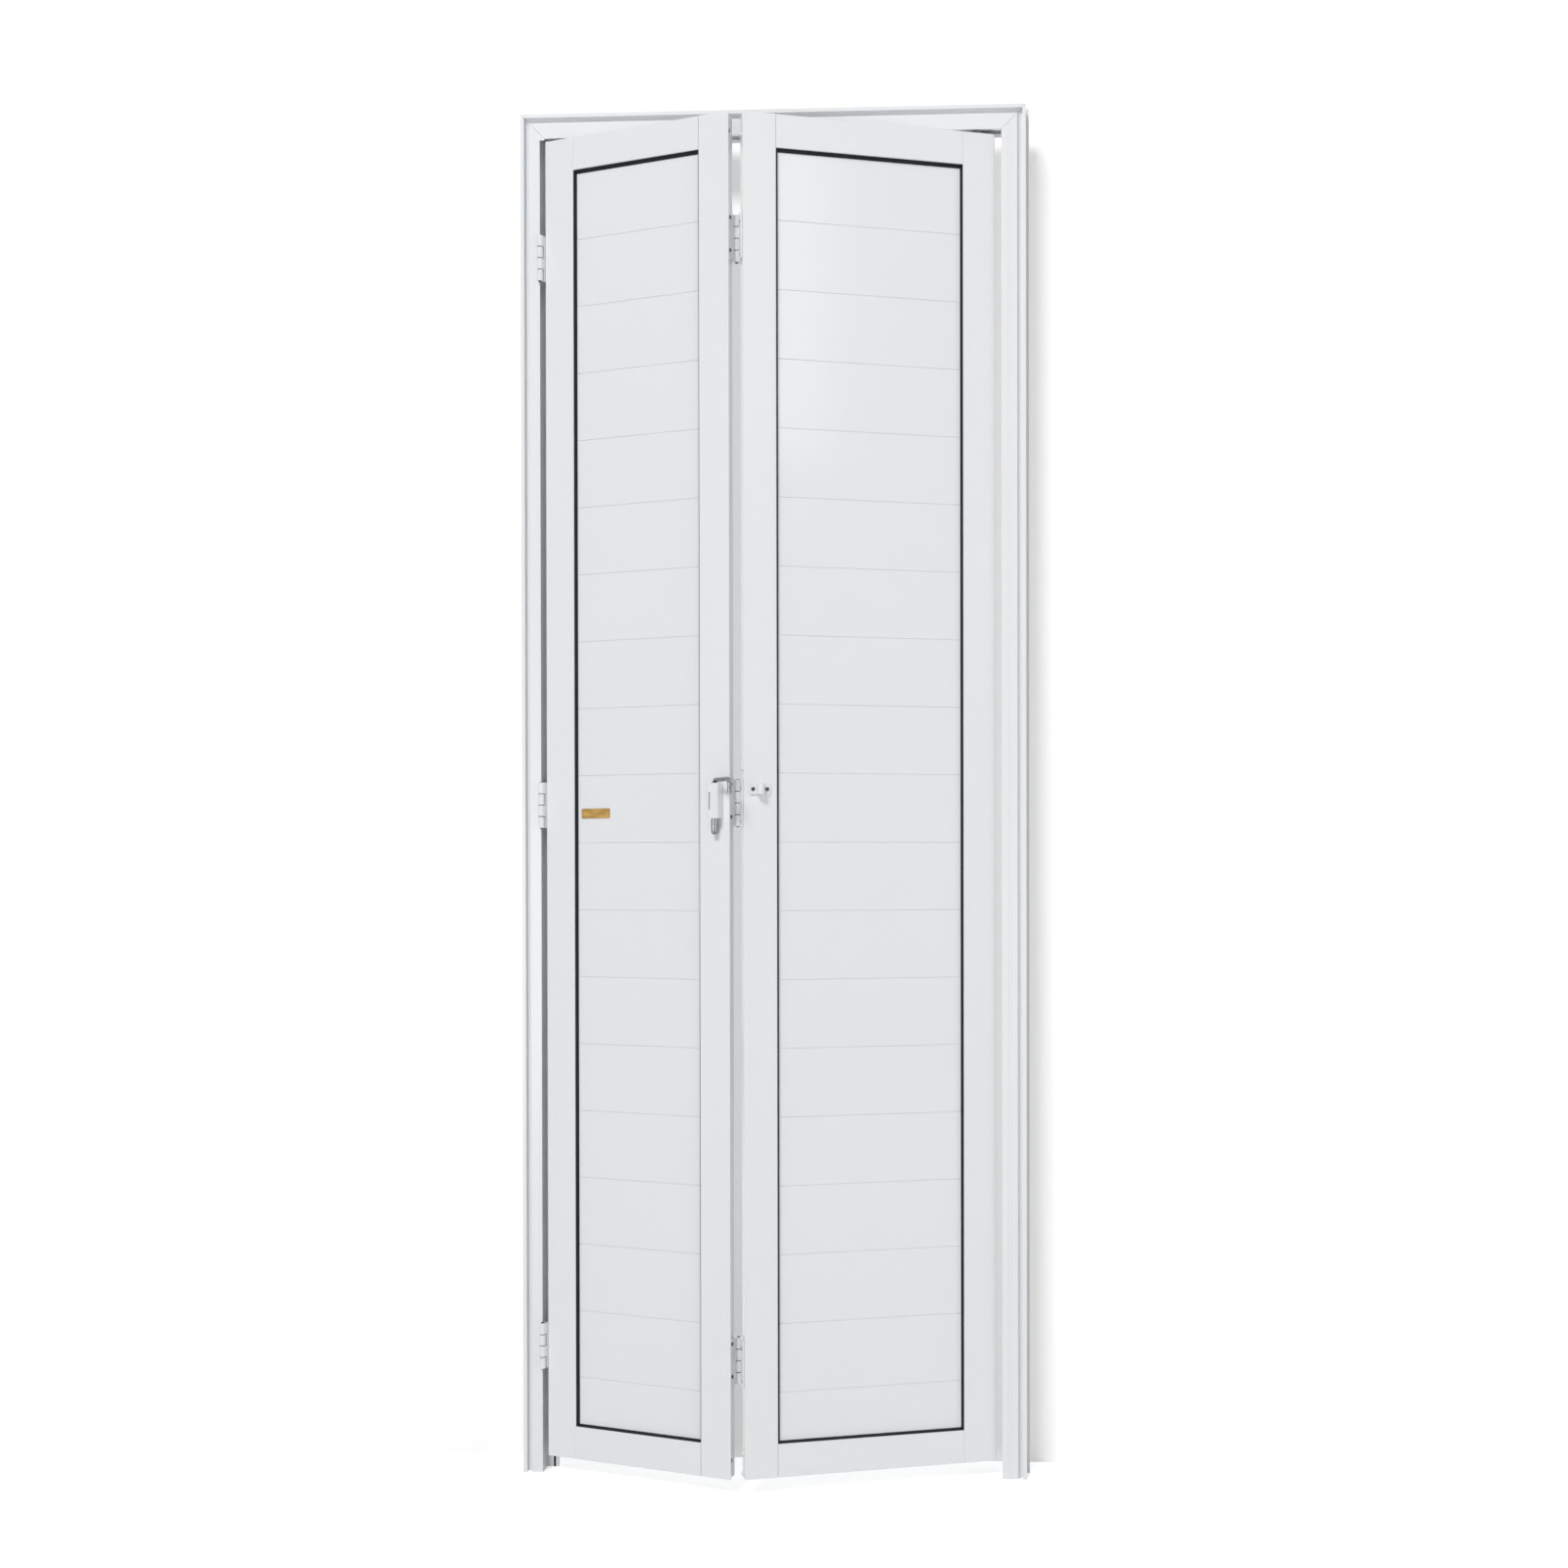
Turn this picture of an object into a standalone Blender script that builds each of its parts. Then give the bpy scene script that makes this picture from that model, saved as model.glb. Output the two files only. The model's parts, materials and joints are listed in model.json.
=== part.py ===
"""A bifold door in its frame: two boarded leaves of unequal width that fold towards the viewer.

Metres, +Z up. X runs along the frame from its middle, Y from the front of its lip to the back, and Z
from the floor. Both leaves are modelled shut and then turned about their hinges.
"""

import math
from collections import namedtuple

import bmesh
import bpy
from mathutils import Matrix, Vector

# Whole frame
FRAME_WIDTH = 0.780
FRAME_HEIGHT = 2.100
FRAME_DEPTH = 0.0345

# Clearances
FIT = 0.0003
LEAF_PLAY = 0.0004
HINGE_GAP = 0.0065
MEETING_GAP = 0.004
CLOSING_GAP = 0.0045
FLOOR_GAP = 0.026
HEAD_GAP = 0.005
KNUCKLE_GAP = 0.0012
OVERRUN = 0.002
MERGE = 0.00001

# Frame section
FRAME_WALL = 0.0018
OUTER_LIP = 0.0055
COVE_WIDTH = 0.008
COVE_DEPTH = 0.0075
FACE_SETBACK = 0.001
REBATE_WIDTH = 0.030
LIP_REACH = 0.0075
LIP_THICKNESS = 0.0022
FIN_REACH = 0.0045
FIN_THICKNESS = 0.002
GROOVE_SHARES = (0.75, 0.9)
GROOVE_WIDTH = 0.0007
GROOVE_DEPTH = 0.0005
STOP_GAP = 0.0014
STOP_REACH = 0.0177
SEAL_GROOVE_START = 0.010
SEAL_GROOVE_WIDTH = 0.0035
SEAL_GROOVE_DEPTH = 0.0035
SEAL_NOSE = 0.0008
CLEAT_LEG = 0.060
CLEAT_FRONT = 0.013

# Guide track in the head
POCKET_DEPTH = 0.0115
SLOT_FRONT = 0.0077
SLOT_WIDTH = 0.0155
TRACK_SIDE = 0.0027
TRACK_TOP = 0.0016

# Leaves
LEFT_LEAF_WIDTH = 0.318
LEAF_DEPTH = 0.024
BAR_WIDTH = 0.050
BAR_WALL = 0.0016
BAR_EASE = 0.0006
BOARD_GROOVE = 0.008
MEETING_LIP_THICKNESS = 0.0022
KEY_LENGTH = 0.060
KEY_BITE = 0.0006
KEY_CLEAR = 0.006
BOARD_PITCH = 0.103
BOARD_THICKNESS = 0.0116
BOARD_WALL = 0.0012
BOARD_WEB = 0.003
BOARD_EASE = 0.0005
BOARD_SEAM = 0.0004
BOARD_SEAM_DEPTH = 0.0011
SHOULDER_COVER = 0.0026
GASKET_WIDTH = 0.0031
GASKET_TOP_WIDTH = 0.0046
GASKET_NOSE = 0.0006
GASKET_SETBACK = 0.0006

# Hinges
HINGE_HEIGHT = 0.070
HINGE_SHARES = (0.089, 0.504, 0.9155)
KNUCKLES = 4
BARREL_RADIUS = 0.0046
BORE_RADIUS = 0.0024
PLATE_THICKNESS = 0.0022
JAMB_PLATE_REACH = 0.0265
FOLD_PLATE_REACH = 0.0259
SCREW_SHARES = (0.1, 0.8)
SCREW_SEAT_SHARE = 0.62
SCREW_HEAD_RADIUS = 0.0031
SCREW_HEAD_HEIGHT = 0.0014
SCREW_SHANK_RADIUS = 0.0018
BACKING_THICKNESS = 0.0025
BACKING_MARGIN = 0.005

# Latch and keeper: rises are above the lower end of the middle hinges
LATCH_EDGE = 0.0206
LATCH_STANDOFF = 0.0088
CASE_WIDTH = 0.019
CASE_RISE = 0.0114
CASE_HEIGHT = 0.052
CASE_WALL = 0.0018
CASE_EASE = 0.0025
CASE_FLOOR = 0.003
CASE_SLOT_HEIGHT = 0.026
CASE_SLOT_WIDTH = 0.0018
CASE_SLOT_AWAY = 0.0037
SLEEVE_RADIUS = 0.0046
SLEEVE_DROP = 0.024
SLEEVE_RISE = 0.001
BUSH_THICKNESS = 0.0014
HOOK_RADIUS = 0.0032
HOOK_RISE = 0.005
HOOK_ROOT = 0.012
HOOK_BEND = 0.006
HOOK_LEG = 0.0216
KEEPER_EDGE = 0.0245
KEEPER_WIDTH = 0.031
KEEPER_HEIGHT = 0.015
KEEPER_THICKNESS = 0.002
KEEPER_RISE = 0.0624
KEEPER_RIM = 0.0005
KEEPER_PLAY = 0.0004
KEEPER_WALL = 0.0022
KEEPER_SCREW_SHARE = 0.34

# Name plate
NAME_PLATE_START = 0.0062
NAME_PLATE_RISE = 0.0144
NAME_PLATE_WIDTH = 0.0495
NAME_PLATE_HEIGHT = 0.0145
NAME_PLATE_THICKNESS = 0.001
NAME_PLATE_EASE = 0.0012

# Guide at the top of the right leaf
GUIDE_EDGE = 0.022
GUIDE_BACK = 0.0104
GUIDE_PLUG_WIDTH = 0.024
GUIDE_PLUG_DROP = 0.030
GUIDE_FLANGE = 0.002
GUIDE_FLANGE_INSET = 0.0008
GUIDE_PIN_RADIUS = 0.0025
GUIDE_PIN_DROP = 0.020
ROLLER_RADIUS = 0.0037
ROLLER_HEIGHT = 0.0092
ROLLER_START = 0.0028
PIN_HEAD = 0.0005

# Pose: how far the left leaf stands open, how far the guide pin has then come forward in its track,
# and how far the latch arm swings out
LEFT_OPENING = math.radians(18.8)
GUIDE_DRIFT = 0.0013
LATCH_SWING = math.radians(35)

# Facets
COVE_STEPS = 5
BARREL_STEPS = 14
BORE_STEPS = 12
SCREW_STEPS = 12
ROUND_STEPS = 20
BEND_STEPS = 4

# Derived places, shut
LEFT_FACE = -FRAME_WIDTH / 2
RIGHT_FACE = FRAME_WIDTH / 2
LEFT_LEAF_LEFT = LEFT_FACE + REBATE_WIDTH + HINGE_GAP
LEFT_LEAF_RIGHT = LEFT_LEAF_LEFT + LEFT_LEAF_WIDTH
RIGHT_LEAF_LEFT = LEFT_LEAF_RIGHT + MEETING_GAP
RIGHT_LEAF_RIGHT = RIGHT_FACE - REBATE_WIDTH - CLOSING_GAP
MEMBER_REACH = REBATE_WIDTH + LIP_REACH
MITRE_BACK = FIT * math.sqrt(0.5)
LEAF_FRONT = FACE_SETBACK + LIP_THICKNESS + LEAF_PLAY
LEAF_BACK = LEAF_FRONT + LEAF_DEPTH
LEAF_BOTTOM = FLOOR_GAP
LEAF_TOP = FRAME_HEIGHT - MEMBER_REACH - HEAD_GAP
LEAF_HEIGHT = LEAF_TOP - LEAF_BOTTOM
STOP_FRONT = LEAF_BACK + STOP_GAP
PANEL_SETBACK = (LEAF_DEPTH - BOARD_THICKNESS) / 2
JAMB_PIN = (LEFT_LEAF_LEFT - FIT - BARREL_RADIUS, FACE_SETBACK - FIT - BARREL_RADIUS)
FOLD_PIN = (RIGHT_LEAF_LEFT - FIT - BARREL_RADIUS, LEAF_BACK + BARREL_RADIUS)
MEETING_LIP = 2 * (BARREL_RADIUS + FIT) - MEETING_GAP
LATCH_ROD = (LEFT_LEAF_RIGHT - LATCH_EDGE, LEAF_FRONT - LATCH_STANDOFF)
KEEPER_EYE = (RIGHT_LEAF_LEFT + KEEPER_EDGE, LEAF_FRONT - LATCH_STANDOFF)
GUIDE_PIN = (RIGHT_LEAF_RIGHT - GUIDE_EDGE, LEAF_FRONT + GUIDE_BACK)
MIDDLE_HINGE = LEAF_TOP - HINGE_SHARES[1] * LEAF_HEIGHT - HINGE_HEIGHT / 2
CASE_BOTTOM = MIDDLE_HINGE + CASE_RISE
CASE_TOP = CASE_BOTTOM + CASE_HEIGHT
KEEPER_TOP = MIDDLE_HINGE + KEEPER_RISE
BUSH_RADIUS = SLEEVE_RADIUS + FIT + BUSH_THICKNESS
ROLLER_BOTTOM = LEAF_TOP + ROLLER_START

Pivot = namedtuple("Pivot", "empty place")

for stray in list(bpy.data.objects):
    bpy.data.objects.remove(stray)


def new_collection(name, hidden):
    collection = bpy.data.collections.new(name)
    bpy.context.scene.collection.children.link(collection)
    collection.hide_render = hidden
    return collection


PIECES = new_collection("bifold_door", False)
CUTTERS = new_collection("cutters", True)


def new_material(name, colour, metallic, roughness):
    material = bpy.data.materials.new(name)
    material.use_nodes = True
    shader = material.node_tree.nodes["Principled BSDF"]
    shader.inputs["Base Color"].default_value = (*colour, 1)
    shader.inputs["Metallic"].default_value = metallic
    shader.inputs["Roughness"].default_value = roughness
    return material


WHITE = new_material("white_powder_coat", (0.82, 0.83, 0.84), 0, 0.38)
BLACK_RUBBER = new_material("black_rubber", (0.015, 0.015, 0.016), 0, 0.7)
DARK_STEEL = new_material("dark_steel", (0.09, 0.09, 0.1), 1, 0.45)
BRIGHT_STEEL = new_material("bright_steel", (0.62, 0.62, 0.63), 1, 0.3)
MILL_ALUMINIUM = new_material("mill_aluminium", (0.7, 0.71, 0.72), 1, 0.5)
GOLD = new_material("gold_anodised", (0.78, 0.58, 0.25), 1, 0.35)
BLACK_PLASTIC = new_material("black_plastic", (0.03, 0.03, 0.032), 0, 0.5)
WHITE_NYLON = new_material("white_nylon", (0.8, 0.8, 0.78), 0, 0.45)
GREY_NYLON = new_material("grey_nylon", (0.2, 0.2, 0.21), 0, 0.5)


def add_piece(name, mesh, material, matrix=Matrix()):
    mesh.materials.append(material)
    piece = bpy.data.objects.new(name, mesh)
    piece.matrix_basis = matrix
    PIECES.objects.link(piece)
    return piece


def add_cutter(name, mesh, matrix=Matrix()):
    cutter = bpy.data.objects.new(name, mesh)
    cutter.matrix_basis = matrix
    cutter.hide_render = True
    cutter.display_type = "WIRE"
    CUTTERS.objects.link(cutter)
    return cutter


def boolean(piece, operation, *others):
    for other in others:
        change = piece.modifiers.new(other.name, "BOOLEAN")
        change.operation = operation
        change.solver = "EXACT"
        change.object = other


def cut(piece, *cutters):
    boolean(piece, "DIFFERENCE", *cutters)


def join(piece, *others):
    boolean(piece, "UNION", *others)


def facing(origin, across, along):
    """Lays the first axis of a section across and its length along, from the origin."""
    across = Vector(across)
    along = Vector(along)
    turn = Matrix((across, along.cross(across), along)).transposed()
    return Matrix.Translation(origin) @ turn.to_4x4()


def upright(x, y, z):
    return Matrix.Translation((x, y, z))


def cleaned(mesh, shift=(0, 0, 0)):
    work = bmesh.new()
    work.from_mesh(mesh)
    bmesh.ops.remove_doubles(work, verts=work.verts, dist=MERGE)
    bmesh.ops.translate(work, verts=work.verts, vec=shift)
    bmesh.ops.recalc_face_normals(work, faces=work.faces)
    work.to_mesh(mesh)
    work.free()
    return mesh


def relaid(mesh):
    """Turns edges in the end faces of a prism, so that no triangle there is without area."""
    work = bmesh.new()
    work.from_mesh(mesh)
    flat = set()
    for face in work.faces:
        heights = [vertex.co.z for vertex in face.verts]
        if max(heights) - min(heights) < MERGE:
            flat.add(face)
    edges = [edge for edge in work.edges if flat.issuperset(edge.link_faces)]
    bmesh.ops.beautify_fill(work, faces=list(flat), edges=edges, method="AREA")
    work.to_mesh(mesh)
    work.free()
    return mesh


def meshed(curve):
    holder = bpy.data.objects.new("holder", curve)
    mesh = bpy.data.meshes.new_from_object(holder)
    bpy.data.objects.remove(holder)
    bpy.data.curves.remove(curve)
    return mesh


def extruded(loops, length):
    """Prism along +Z: the first loop is its outside, the others are hollows."""
    curve = bpy.data.curves.new("loops", "CURVE")
    curve.dimensions = "2D"
    curve.fill_mode = "BOTH"
    curve.extrude = length / 2
    for loop in loops:
        spline = curve.splines.new("POLY")
        spline.points.add(len(loop) - 1)
        for point, (x, y) in zip(spline.points, loop):
            point.co = (x, y, 0, 1)
        spline.use_cyclic_u = True
    return relaid(cleaned(meshed(curve), (0, 0, length / 2)))


def turned(profile, steps, closed=False):
    """Spins (radius, height) points about Z; closed joins the last point to the first."""
    work = bmesh.new()
    points = [work.verts.new((radius, 0, height)) for radius, height in profile]
    ends = points[1:] + points[:1] if closed else points[1:]
    edges = [work.edges.new(pair) for pair in zip(points, ends)]
    bmesh.ops.spin(
        work,
        geom=points + edges,
        cent=(0, 0, 0),
        axis=(0, 0, 1),
        angle=math.tau,
        steps=steps,
        use_merge=True,
    )
    mesh = bpy.data.meshes.new("turned")
    work.to_mesh(mesh)
    work.free()
    return smoothed(cleaned(mesh))


def smoothed(mesh):
    mesh.shade_smooth()
    mesh.set_sharp_from_angle(angle=math.radians(40))
    return mesh


def merged(parts):
    """One mesh of separate bodies, given as pairs of a mesh and the matrix that places it."""
    work = bmesh.new()
    for mesh, matrix in parts:
        placed = mesh.copy()
        placed.transform(matrix)
        work.from_mesh(placed)
        bpy.data.meshes.remove(placed)
    mesh = bpy.data.meshes.new("merged")
    work.to_mesh(mesh)
    work.free()
    return mesh


def rectangle(left, bottom, right, top):
    return [(left, bottom), (right, bottom), (right, top), (left, top)]


def circle(radius, steps, x=0, y=0):
    turns = [math.tau * step / steps for step in range(steps)]
    return [(x + radius * math.cos(turn), y + radius * math.sin(turn)) for turn in turns]


def eased(loop, corners, ease):
    """Takes the sharp edge off the numbered corners of a loop."""
    result = []
    for index, corner in enumerate(loop):
        here = Vector(corner)
        if index not in corners:
            result.append(corner)
            continue
        for other in (loop[index - 1], loop[(index + 1) % len(loop)]):
            result.append(tuple(here + (Vector(other) - here).normalized() * ease))
    return result


def pivot_at(name, place, turn, carrier=None):
    """An empty on a joint axis. What hangs on it is modelled in the shut pose."""
    empty = bpy.data.objects.new(name, None)
    PIECES.objects.link(empty)
    hang([empty], carrier)
    empty.matrix_basis = upright(*place, 0) @ Matrix.Rotation(turn, 4, "Z")
    return Pivot(empty, place)


def hang(pieces, pivot):
    for piece in pieces:
        if pivot:
            piece.parent = pivot.empty
            piece.matrix_parent_inverse = upright(*pivot.place, 0).inverted()


# Frame


def cove(wall):
    """The hollow moulding beside the outer lip, or the inside of its wall."""
    depth = COVE_DEPTH + wall
    last = math.acos(wall / depth)
    turns = [last * step / COVE_STEPS for step in range(COVE_STEPS + 1)]
    return [
        (
            OUTER_LIP + (COVE_WIDTH + wall) * math.sin(turn),
            FACE_SETBACK + depth * math.cos(turn),
        )
        for turn in turns
    ]


def frame_front():
    fin_front = FRAME_DEPTH - FIN_THICKNESS
    return [
        (-FIN_REACH, FRAME_DEPTH),
        (-FIN_REACH, fin_front),
        (0, fin_front),
        (0, 0),
        (OUTER_LIP, 0),
        *cove(0),
    ]


def lip():
    back = FACE_SETBACK + LIP_THICKNESS
    return [(MEMBER_REACH, FACE_SETBACK), (MEMBER_REACH, back), (REBATE_WIDTH, back)]


def hollow_front():
    return [
        (FRAME_WALL, FRAME_DEPTH - FRAME_WALL),
        (FRAME_WALL, FACE_SETBACK + COVE_DEPTH + FRAME_WALL),
        *cove(FRAME_WALL),
    ]


def jamb_hollow():
    side = REBATE_WIDTH - FRAME_WALL
    return [
        *hollow_front(),
        (side, FACE_SETBACK + FRAME_WALL),
        (side, FRAME_DEPTH - FRAME_WALL),
    ]


def mitred(mesh, length, start, end):
    """Slopes one or both ends at 45 degrees, as far as the width of the other members."""
    work = bmesh.new()
    work.from_mesh(mesh)
    bmesh.ops.bisect_plane(
        work,
        geom=work.verts[:] + work.edges[:] + work.faces[:],
        plane_co=(MEMBER_REACH, 0, 0),
        plane_no=(1, 0, 0),
        dist=MERGE,
    )
    for vertex in work.verts:
        slope = min(vertex.co.x, MEMBER_REACH) + MITRE_BACK
        if vertex.co.z < length / 2 and start:
            vertex.co.z = slope
        if vertex.co.z > length / 2 and end:
            vertex.co.z = length - slope
    bmesh.ops.recalc_face_normals(work, faces=work.faces)
    work.to_mesh(mesh)
    work.free()
    return mesh


def hinge_jamb():
    stop_end = REBATE_WIDTH + STOP_REACH
    groove_start = REBATE_WIDTH + SEAL_GROOVE_START
    groove_end = groove_start + SEAL_GROOVE_WIDTH
    groove_floor = STOP_FRONT + SEAL_GROOVE_DEPTH
    outside = [
        *frame_front(),
        *lip(),
        (REBATE_WIDTH, STOP_FRONT),
        (groove_start, STOP_FRONT),
        (groove_start, groove_floor),
        (groove_end, groove_floor),
        (groove_end, STOP_FRONT),
        (stop_end, STOP_FRONT),
        (stop_end, FRAME_DEPTH),
    ]
    bar = mitred(extruded([outside, jamb_hollow()], FRAME_HEIGHT), FRAME_HEIGHT, False, True)
    place = facing((LEFT_FACE, 0, 0), (1, 0, 0), (0, 0, 1))
    jamb = add_piece("frame_jamb_hinge_side", smoothed(bar), WHITE, place)
    mill = rectangle(
        REBATE_WIDTH, -OVERRUN, MEMBER_REACH + OVERRUN, FACE_SETBACK + LIP_THICKNESS + OVERRUN
    )
    clear = add_cutter(
        "lip_mill",
        extruded([mill], LEAF_TOP + HEAD_GAP / 2 + OVERRUN),
        upright(LEFT_FACE, 0, -OVERRUN),
    )
    cut(jamb, clear)
    seal_left = groove_start + FIT
    seal_right = groove_end - FIT
    seal_front = LEAF_BACK + FIT
    seal = [
        (seal_left, groove_floor - FIT),
        (seal_left, seal_front + SEAL_NOSE),
        (seal_left + SEAL_NOSE, seal_front),
        (seal_right - SEAL_NOSE, seal_front),
        (seal_right, seal_front + SEAL_NOSE),
        (seal_right, groove_floor - FIT),
    ]
    seal_length = FRAME_HEIGHT - MEMBER_REACH - MITRE_BACK - FIT
    add_piece("stop_seal", extruded([seal], seal_length), BLACK_RUBBER, upright(LEFT_FACE, 0, 0))
    return jamb


def closing_jamb():
    grooves = []
    for share in GROOVE_SHARES:
        middle = share * REBATE_WIDTH
        grooves += [
            (middle - GROOVE_WIDTH / 2, FACE_SETBACK),
            (middle, FACE_SETBACK + GROOVE_DEPTH),
            (middle + GROOVE_WIDTH / 2, FACE_SETBACK),
        ]
    outside = [*frame_front(), *grooves, *lip(), (REBATE_WIDTH, FRAME_DEPTH)]
    bar = mitred(extruded([outside, jamb_hollow()], FRAME_HEIGHT), FRAME_HEIGHT, True, False)
    place = facing((RIGHT_FACE, 0, FRAME_HEIGHT), (-1, 0, 0), (0, 0, -1))
    add_piece("frame_jamb_closing_side", smoothed(bar), WHITE, place)


def head():
    pocket_top = MEMBER_REACH - POCKET_DEPTH
    pocket_front = SLOT_FRONT - TRACK_SIDE - FIT
    pocket_back = SLOT_FRONT + SLOT_WIDTH + TRACK_SIDE + FIT
    outside = [
        *frame_front(),
        (MEMBER_REACH, FACE_SETBACK),
        (MEMBER_REACH, pocket_front),
        (pocket_top, pocket_front),
        (pocket_top, pocket_back),
        (MEMBER_REACH, pocket_back),
        (MEMBER_REACH, FRAME_DEPTH),
    ]
    side = pocket_top - FRAME_WALL
    leg_front = pocket_back + FRAME_WALL
    leg_end = MEMBER_REACH - FRAME_WALL
    hollow = [
        *hollow_front(),
        (side, FACE_SETBACK + FRAME_WALL),
        (side, leg_front),
        (leg_end, leg_front),
        (leg_end, FRAME_DEPTH - FRAME_WALL),
    ]
    bar = mitred(extruded([outside, hollow], FRAME_WIDTH), FRAME_WIDTH, True, True)
    place = facing((LEFT_FACE, 0, FRAME_HEIGHT), (0, 0, -1), (1, 0, 0))
    add_piece("frame_head", smoothed(bar), WHITE, place)
    top = pocket_top + FIT
    bottom = MEMBER_REACH - FIT
    track = [
        (top, pocket_front + FIT),
        (bottom, pocket_front + FIT),
        (bottom, SLOT_FRONT),
        (top + TRACK_TOP, SLOT_FRONT),
        (top + TRACK_TOP, SLOT_FRONT + SLOT_WIDTH),
        (bottom, SLOT_FRONT + SLOT_WIDTH),
        (bottom, pocket_back - FIT),
        (top, pocket_back - FIT),
    ]
    start = MEMBER_REACH + FIT
    place = facing((LEFT_FACE + start, 0, FRAME_HEIGHT), (0, 0, -1), (1, 0, 0))
    rail = extruded([track], FRAME_WIDTH - start - start)
    add_piece("guide_track", rail, MILL_ALUMINIUM, place)


def corner_cleats():
    near = FRAME_WALL + FIT
    far = MEMBER_REACH - POCKET_DEPTH - FRAME_WALL - FIT
    end = near + CLEAT_LEG
    shape = [(near, near), (end, near), (end, far), (far, far), (far, end), (near, end)]
    back = FRAME_DEPTH - FRAME_WALL - FIT
    place = facing((0, back, 0), (1, 0, 0), (0, -1, 0))
    for name, face, side in (("left", LEFT_FACE, 1), ("right", RIGHT_FACE, -1)):
        loop = [(face + side * x, FRAME_HEIGHT - z) for x, z in shape]
        cleat = extruded([loop], back - CLEAT_FRONT)
        add_piece(f"frame_cleat_{name}", cleat, MILL_ALUMINIUM, place)


# Leaves


def bar_loops(reach):
    """A stile or rail: a box with the board groove in its far edge and, for the stile that covers
    the fold, a front lip of this reach on its near edge."""
    floor = BAR_WIDTH - BOARD_GROOVE
    groove_front = PANEL_SETBACK - FIT
    groove_back = LEAF_DEPTH - groove_front
    outside = [
        (0, 0),
        (BAR_WIDTH, 0),
        (BAR_WIDTH, groove_front),
        (floor, groove_front),
        (floor, groove_back),
        (BAR_WIDTH, groove_back),
        (BAR_WIDTH, LEAF_DEPTH),
        (reach, LEAF_DEPTH),
    ]
    if reach:
        outside += [(reach, MEETING_LIP_THICKNESS), (0, MEETING_LIP_THICKNESS)]
    wall = BAR_WALL
    inner = BAR_WIDTH - wall
    hollow = [
        (reach + wall, wall),
        (inner, wall),
        (inner, groove_front - wall),
        (floor - wall, groove_front - wall),
        (floor - wall, groove_back + wall),
        (inner, groove_back + wall),
        (inner, LEAF_DEPTH - wall),
        (reach + wall, LEAF_DEPTH - wall),
    ]
    return [eased(outside, (0, 1, 6, 7), BAR_EASE), hollow]


def panel_side(joints, face, inner):
    """One face of the panel from the bottom up: each joint is a seam between two eased edges."""
    points = []
    seam = face + inner * BOARD_SEAM_DEPTH
    ease = face + inner * BOARD_EASE
    for height in joints:
        low = height - BOARD_SEAM / 2
        high = height + BOARD_SEAM / 2
        points += [
            (face, low - BOARD_EASE),
            (ease, low),
            (seam, low),
            (seam, high),
            (ease, high),
            (face, high + BOARD_EASE),
        ]
    return points


def leaf_panel(name, left, right):
    """Horizontal boards, tongued and grooved together, the lowest cut to what is left."""
    start = left + BAR_WIDTH - BOARD_GROOVE + FIT
    length = right - left - 2 * (start - left)
    shoulder = LEAF_TOP - BAR_WIDTH - FIT - GASKET_TOP_WIDTH + SHOULDER_COVER
    seat = LEAF_BOTTOM + BAR_WIDTH - BOARD_GROOVE + FIT
    top = LEAF_TOP - BAR_WIDTH + BOARD_GROOVE / 2
    whole = int((shoulder - seat) / BOARD_PITCH)
    joints = [shoulder - (whole - index) * BOARD_PITCH for index in range(whole)]
    front = panel_side(joints, 0, 1)
    back = panel_side(joints, BOARD_THICKNESS, -1)
    outside = [(0, seat), *front, (0, top), (BOARD_THICKNESS, top), *back[::-1]]
    outside.append((BOARD_THICKNESS, seat))
    hollows = [
        rectangle(BOARD_WALL, low + BOARD_WEB, BOARD_THICKNESS - BOARD_WALL, high - BOARD_WEB)
        for low, high in zip([seat, *joints], [*joints, top])
    ]
    place = facing((start, LEAF_FRONT + PANEL_SETBACK, 0), (0, 1, 0), (1, 0, 0))
    return add_piece(name, extruded([outside, *hollows], length), WHITE, place)


def wedge_ring(left, right, depths):
    """A rubber wedge round the opening of a leaf, thin at the first depth and at its full widths
    where it meets the panel."""
    edge = BAR_WIDTH + FIT
    thin, full = depths
    rows = (
        (thin, 0, 0),
        (full, 0, 0),
        (full, GASKET_WIDTH, GASKET_TOP_WIDTH),
        (thin, GASKET_NOSE, GASKET_NOSE),
    )
    work = bmesh.new()
    loops = []
    for depth, width, top_width in rows:
        inset = edge + width
        top = LEAF_TOP - edge - top_width
        corners = rectangle(left + inset, LEAF_BOTTOM + inset, right - inset, top)
        loops.append([work.verts.new((x, depth, z)) for x, z in corners])
    for loop, following in zip(loops, loops[1:] + loops[:1]):
        for index in range(len(loop)):
            work.faces.new((loop[index - 1], loop[index], following[index], following[index - 1]))
    mesh = bpy.data.meshes.new("ring")
    work.to_mesh(mesh)
    work.free()
    return cleaned(mesh)


def leaf_gaskets(prefix, left, right):
    gaskets = []
    for face, surface, inner in (("front", LEAF_FRONT, 1), ("back", LEAF_BACK, -1)):
        depths = (surface + inner * GASKET_SETBACK, surface + inner * (PANEL_SETBACK - FIT))
        ring = wedge_ring(left, right, depths)
        gaskets.append(add_piece(f"{prefix}gasket_{face}", ring, BLACK_RUBBER))
    return gaskets


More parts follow.
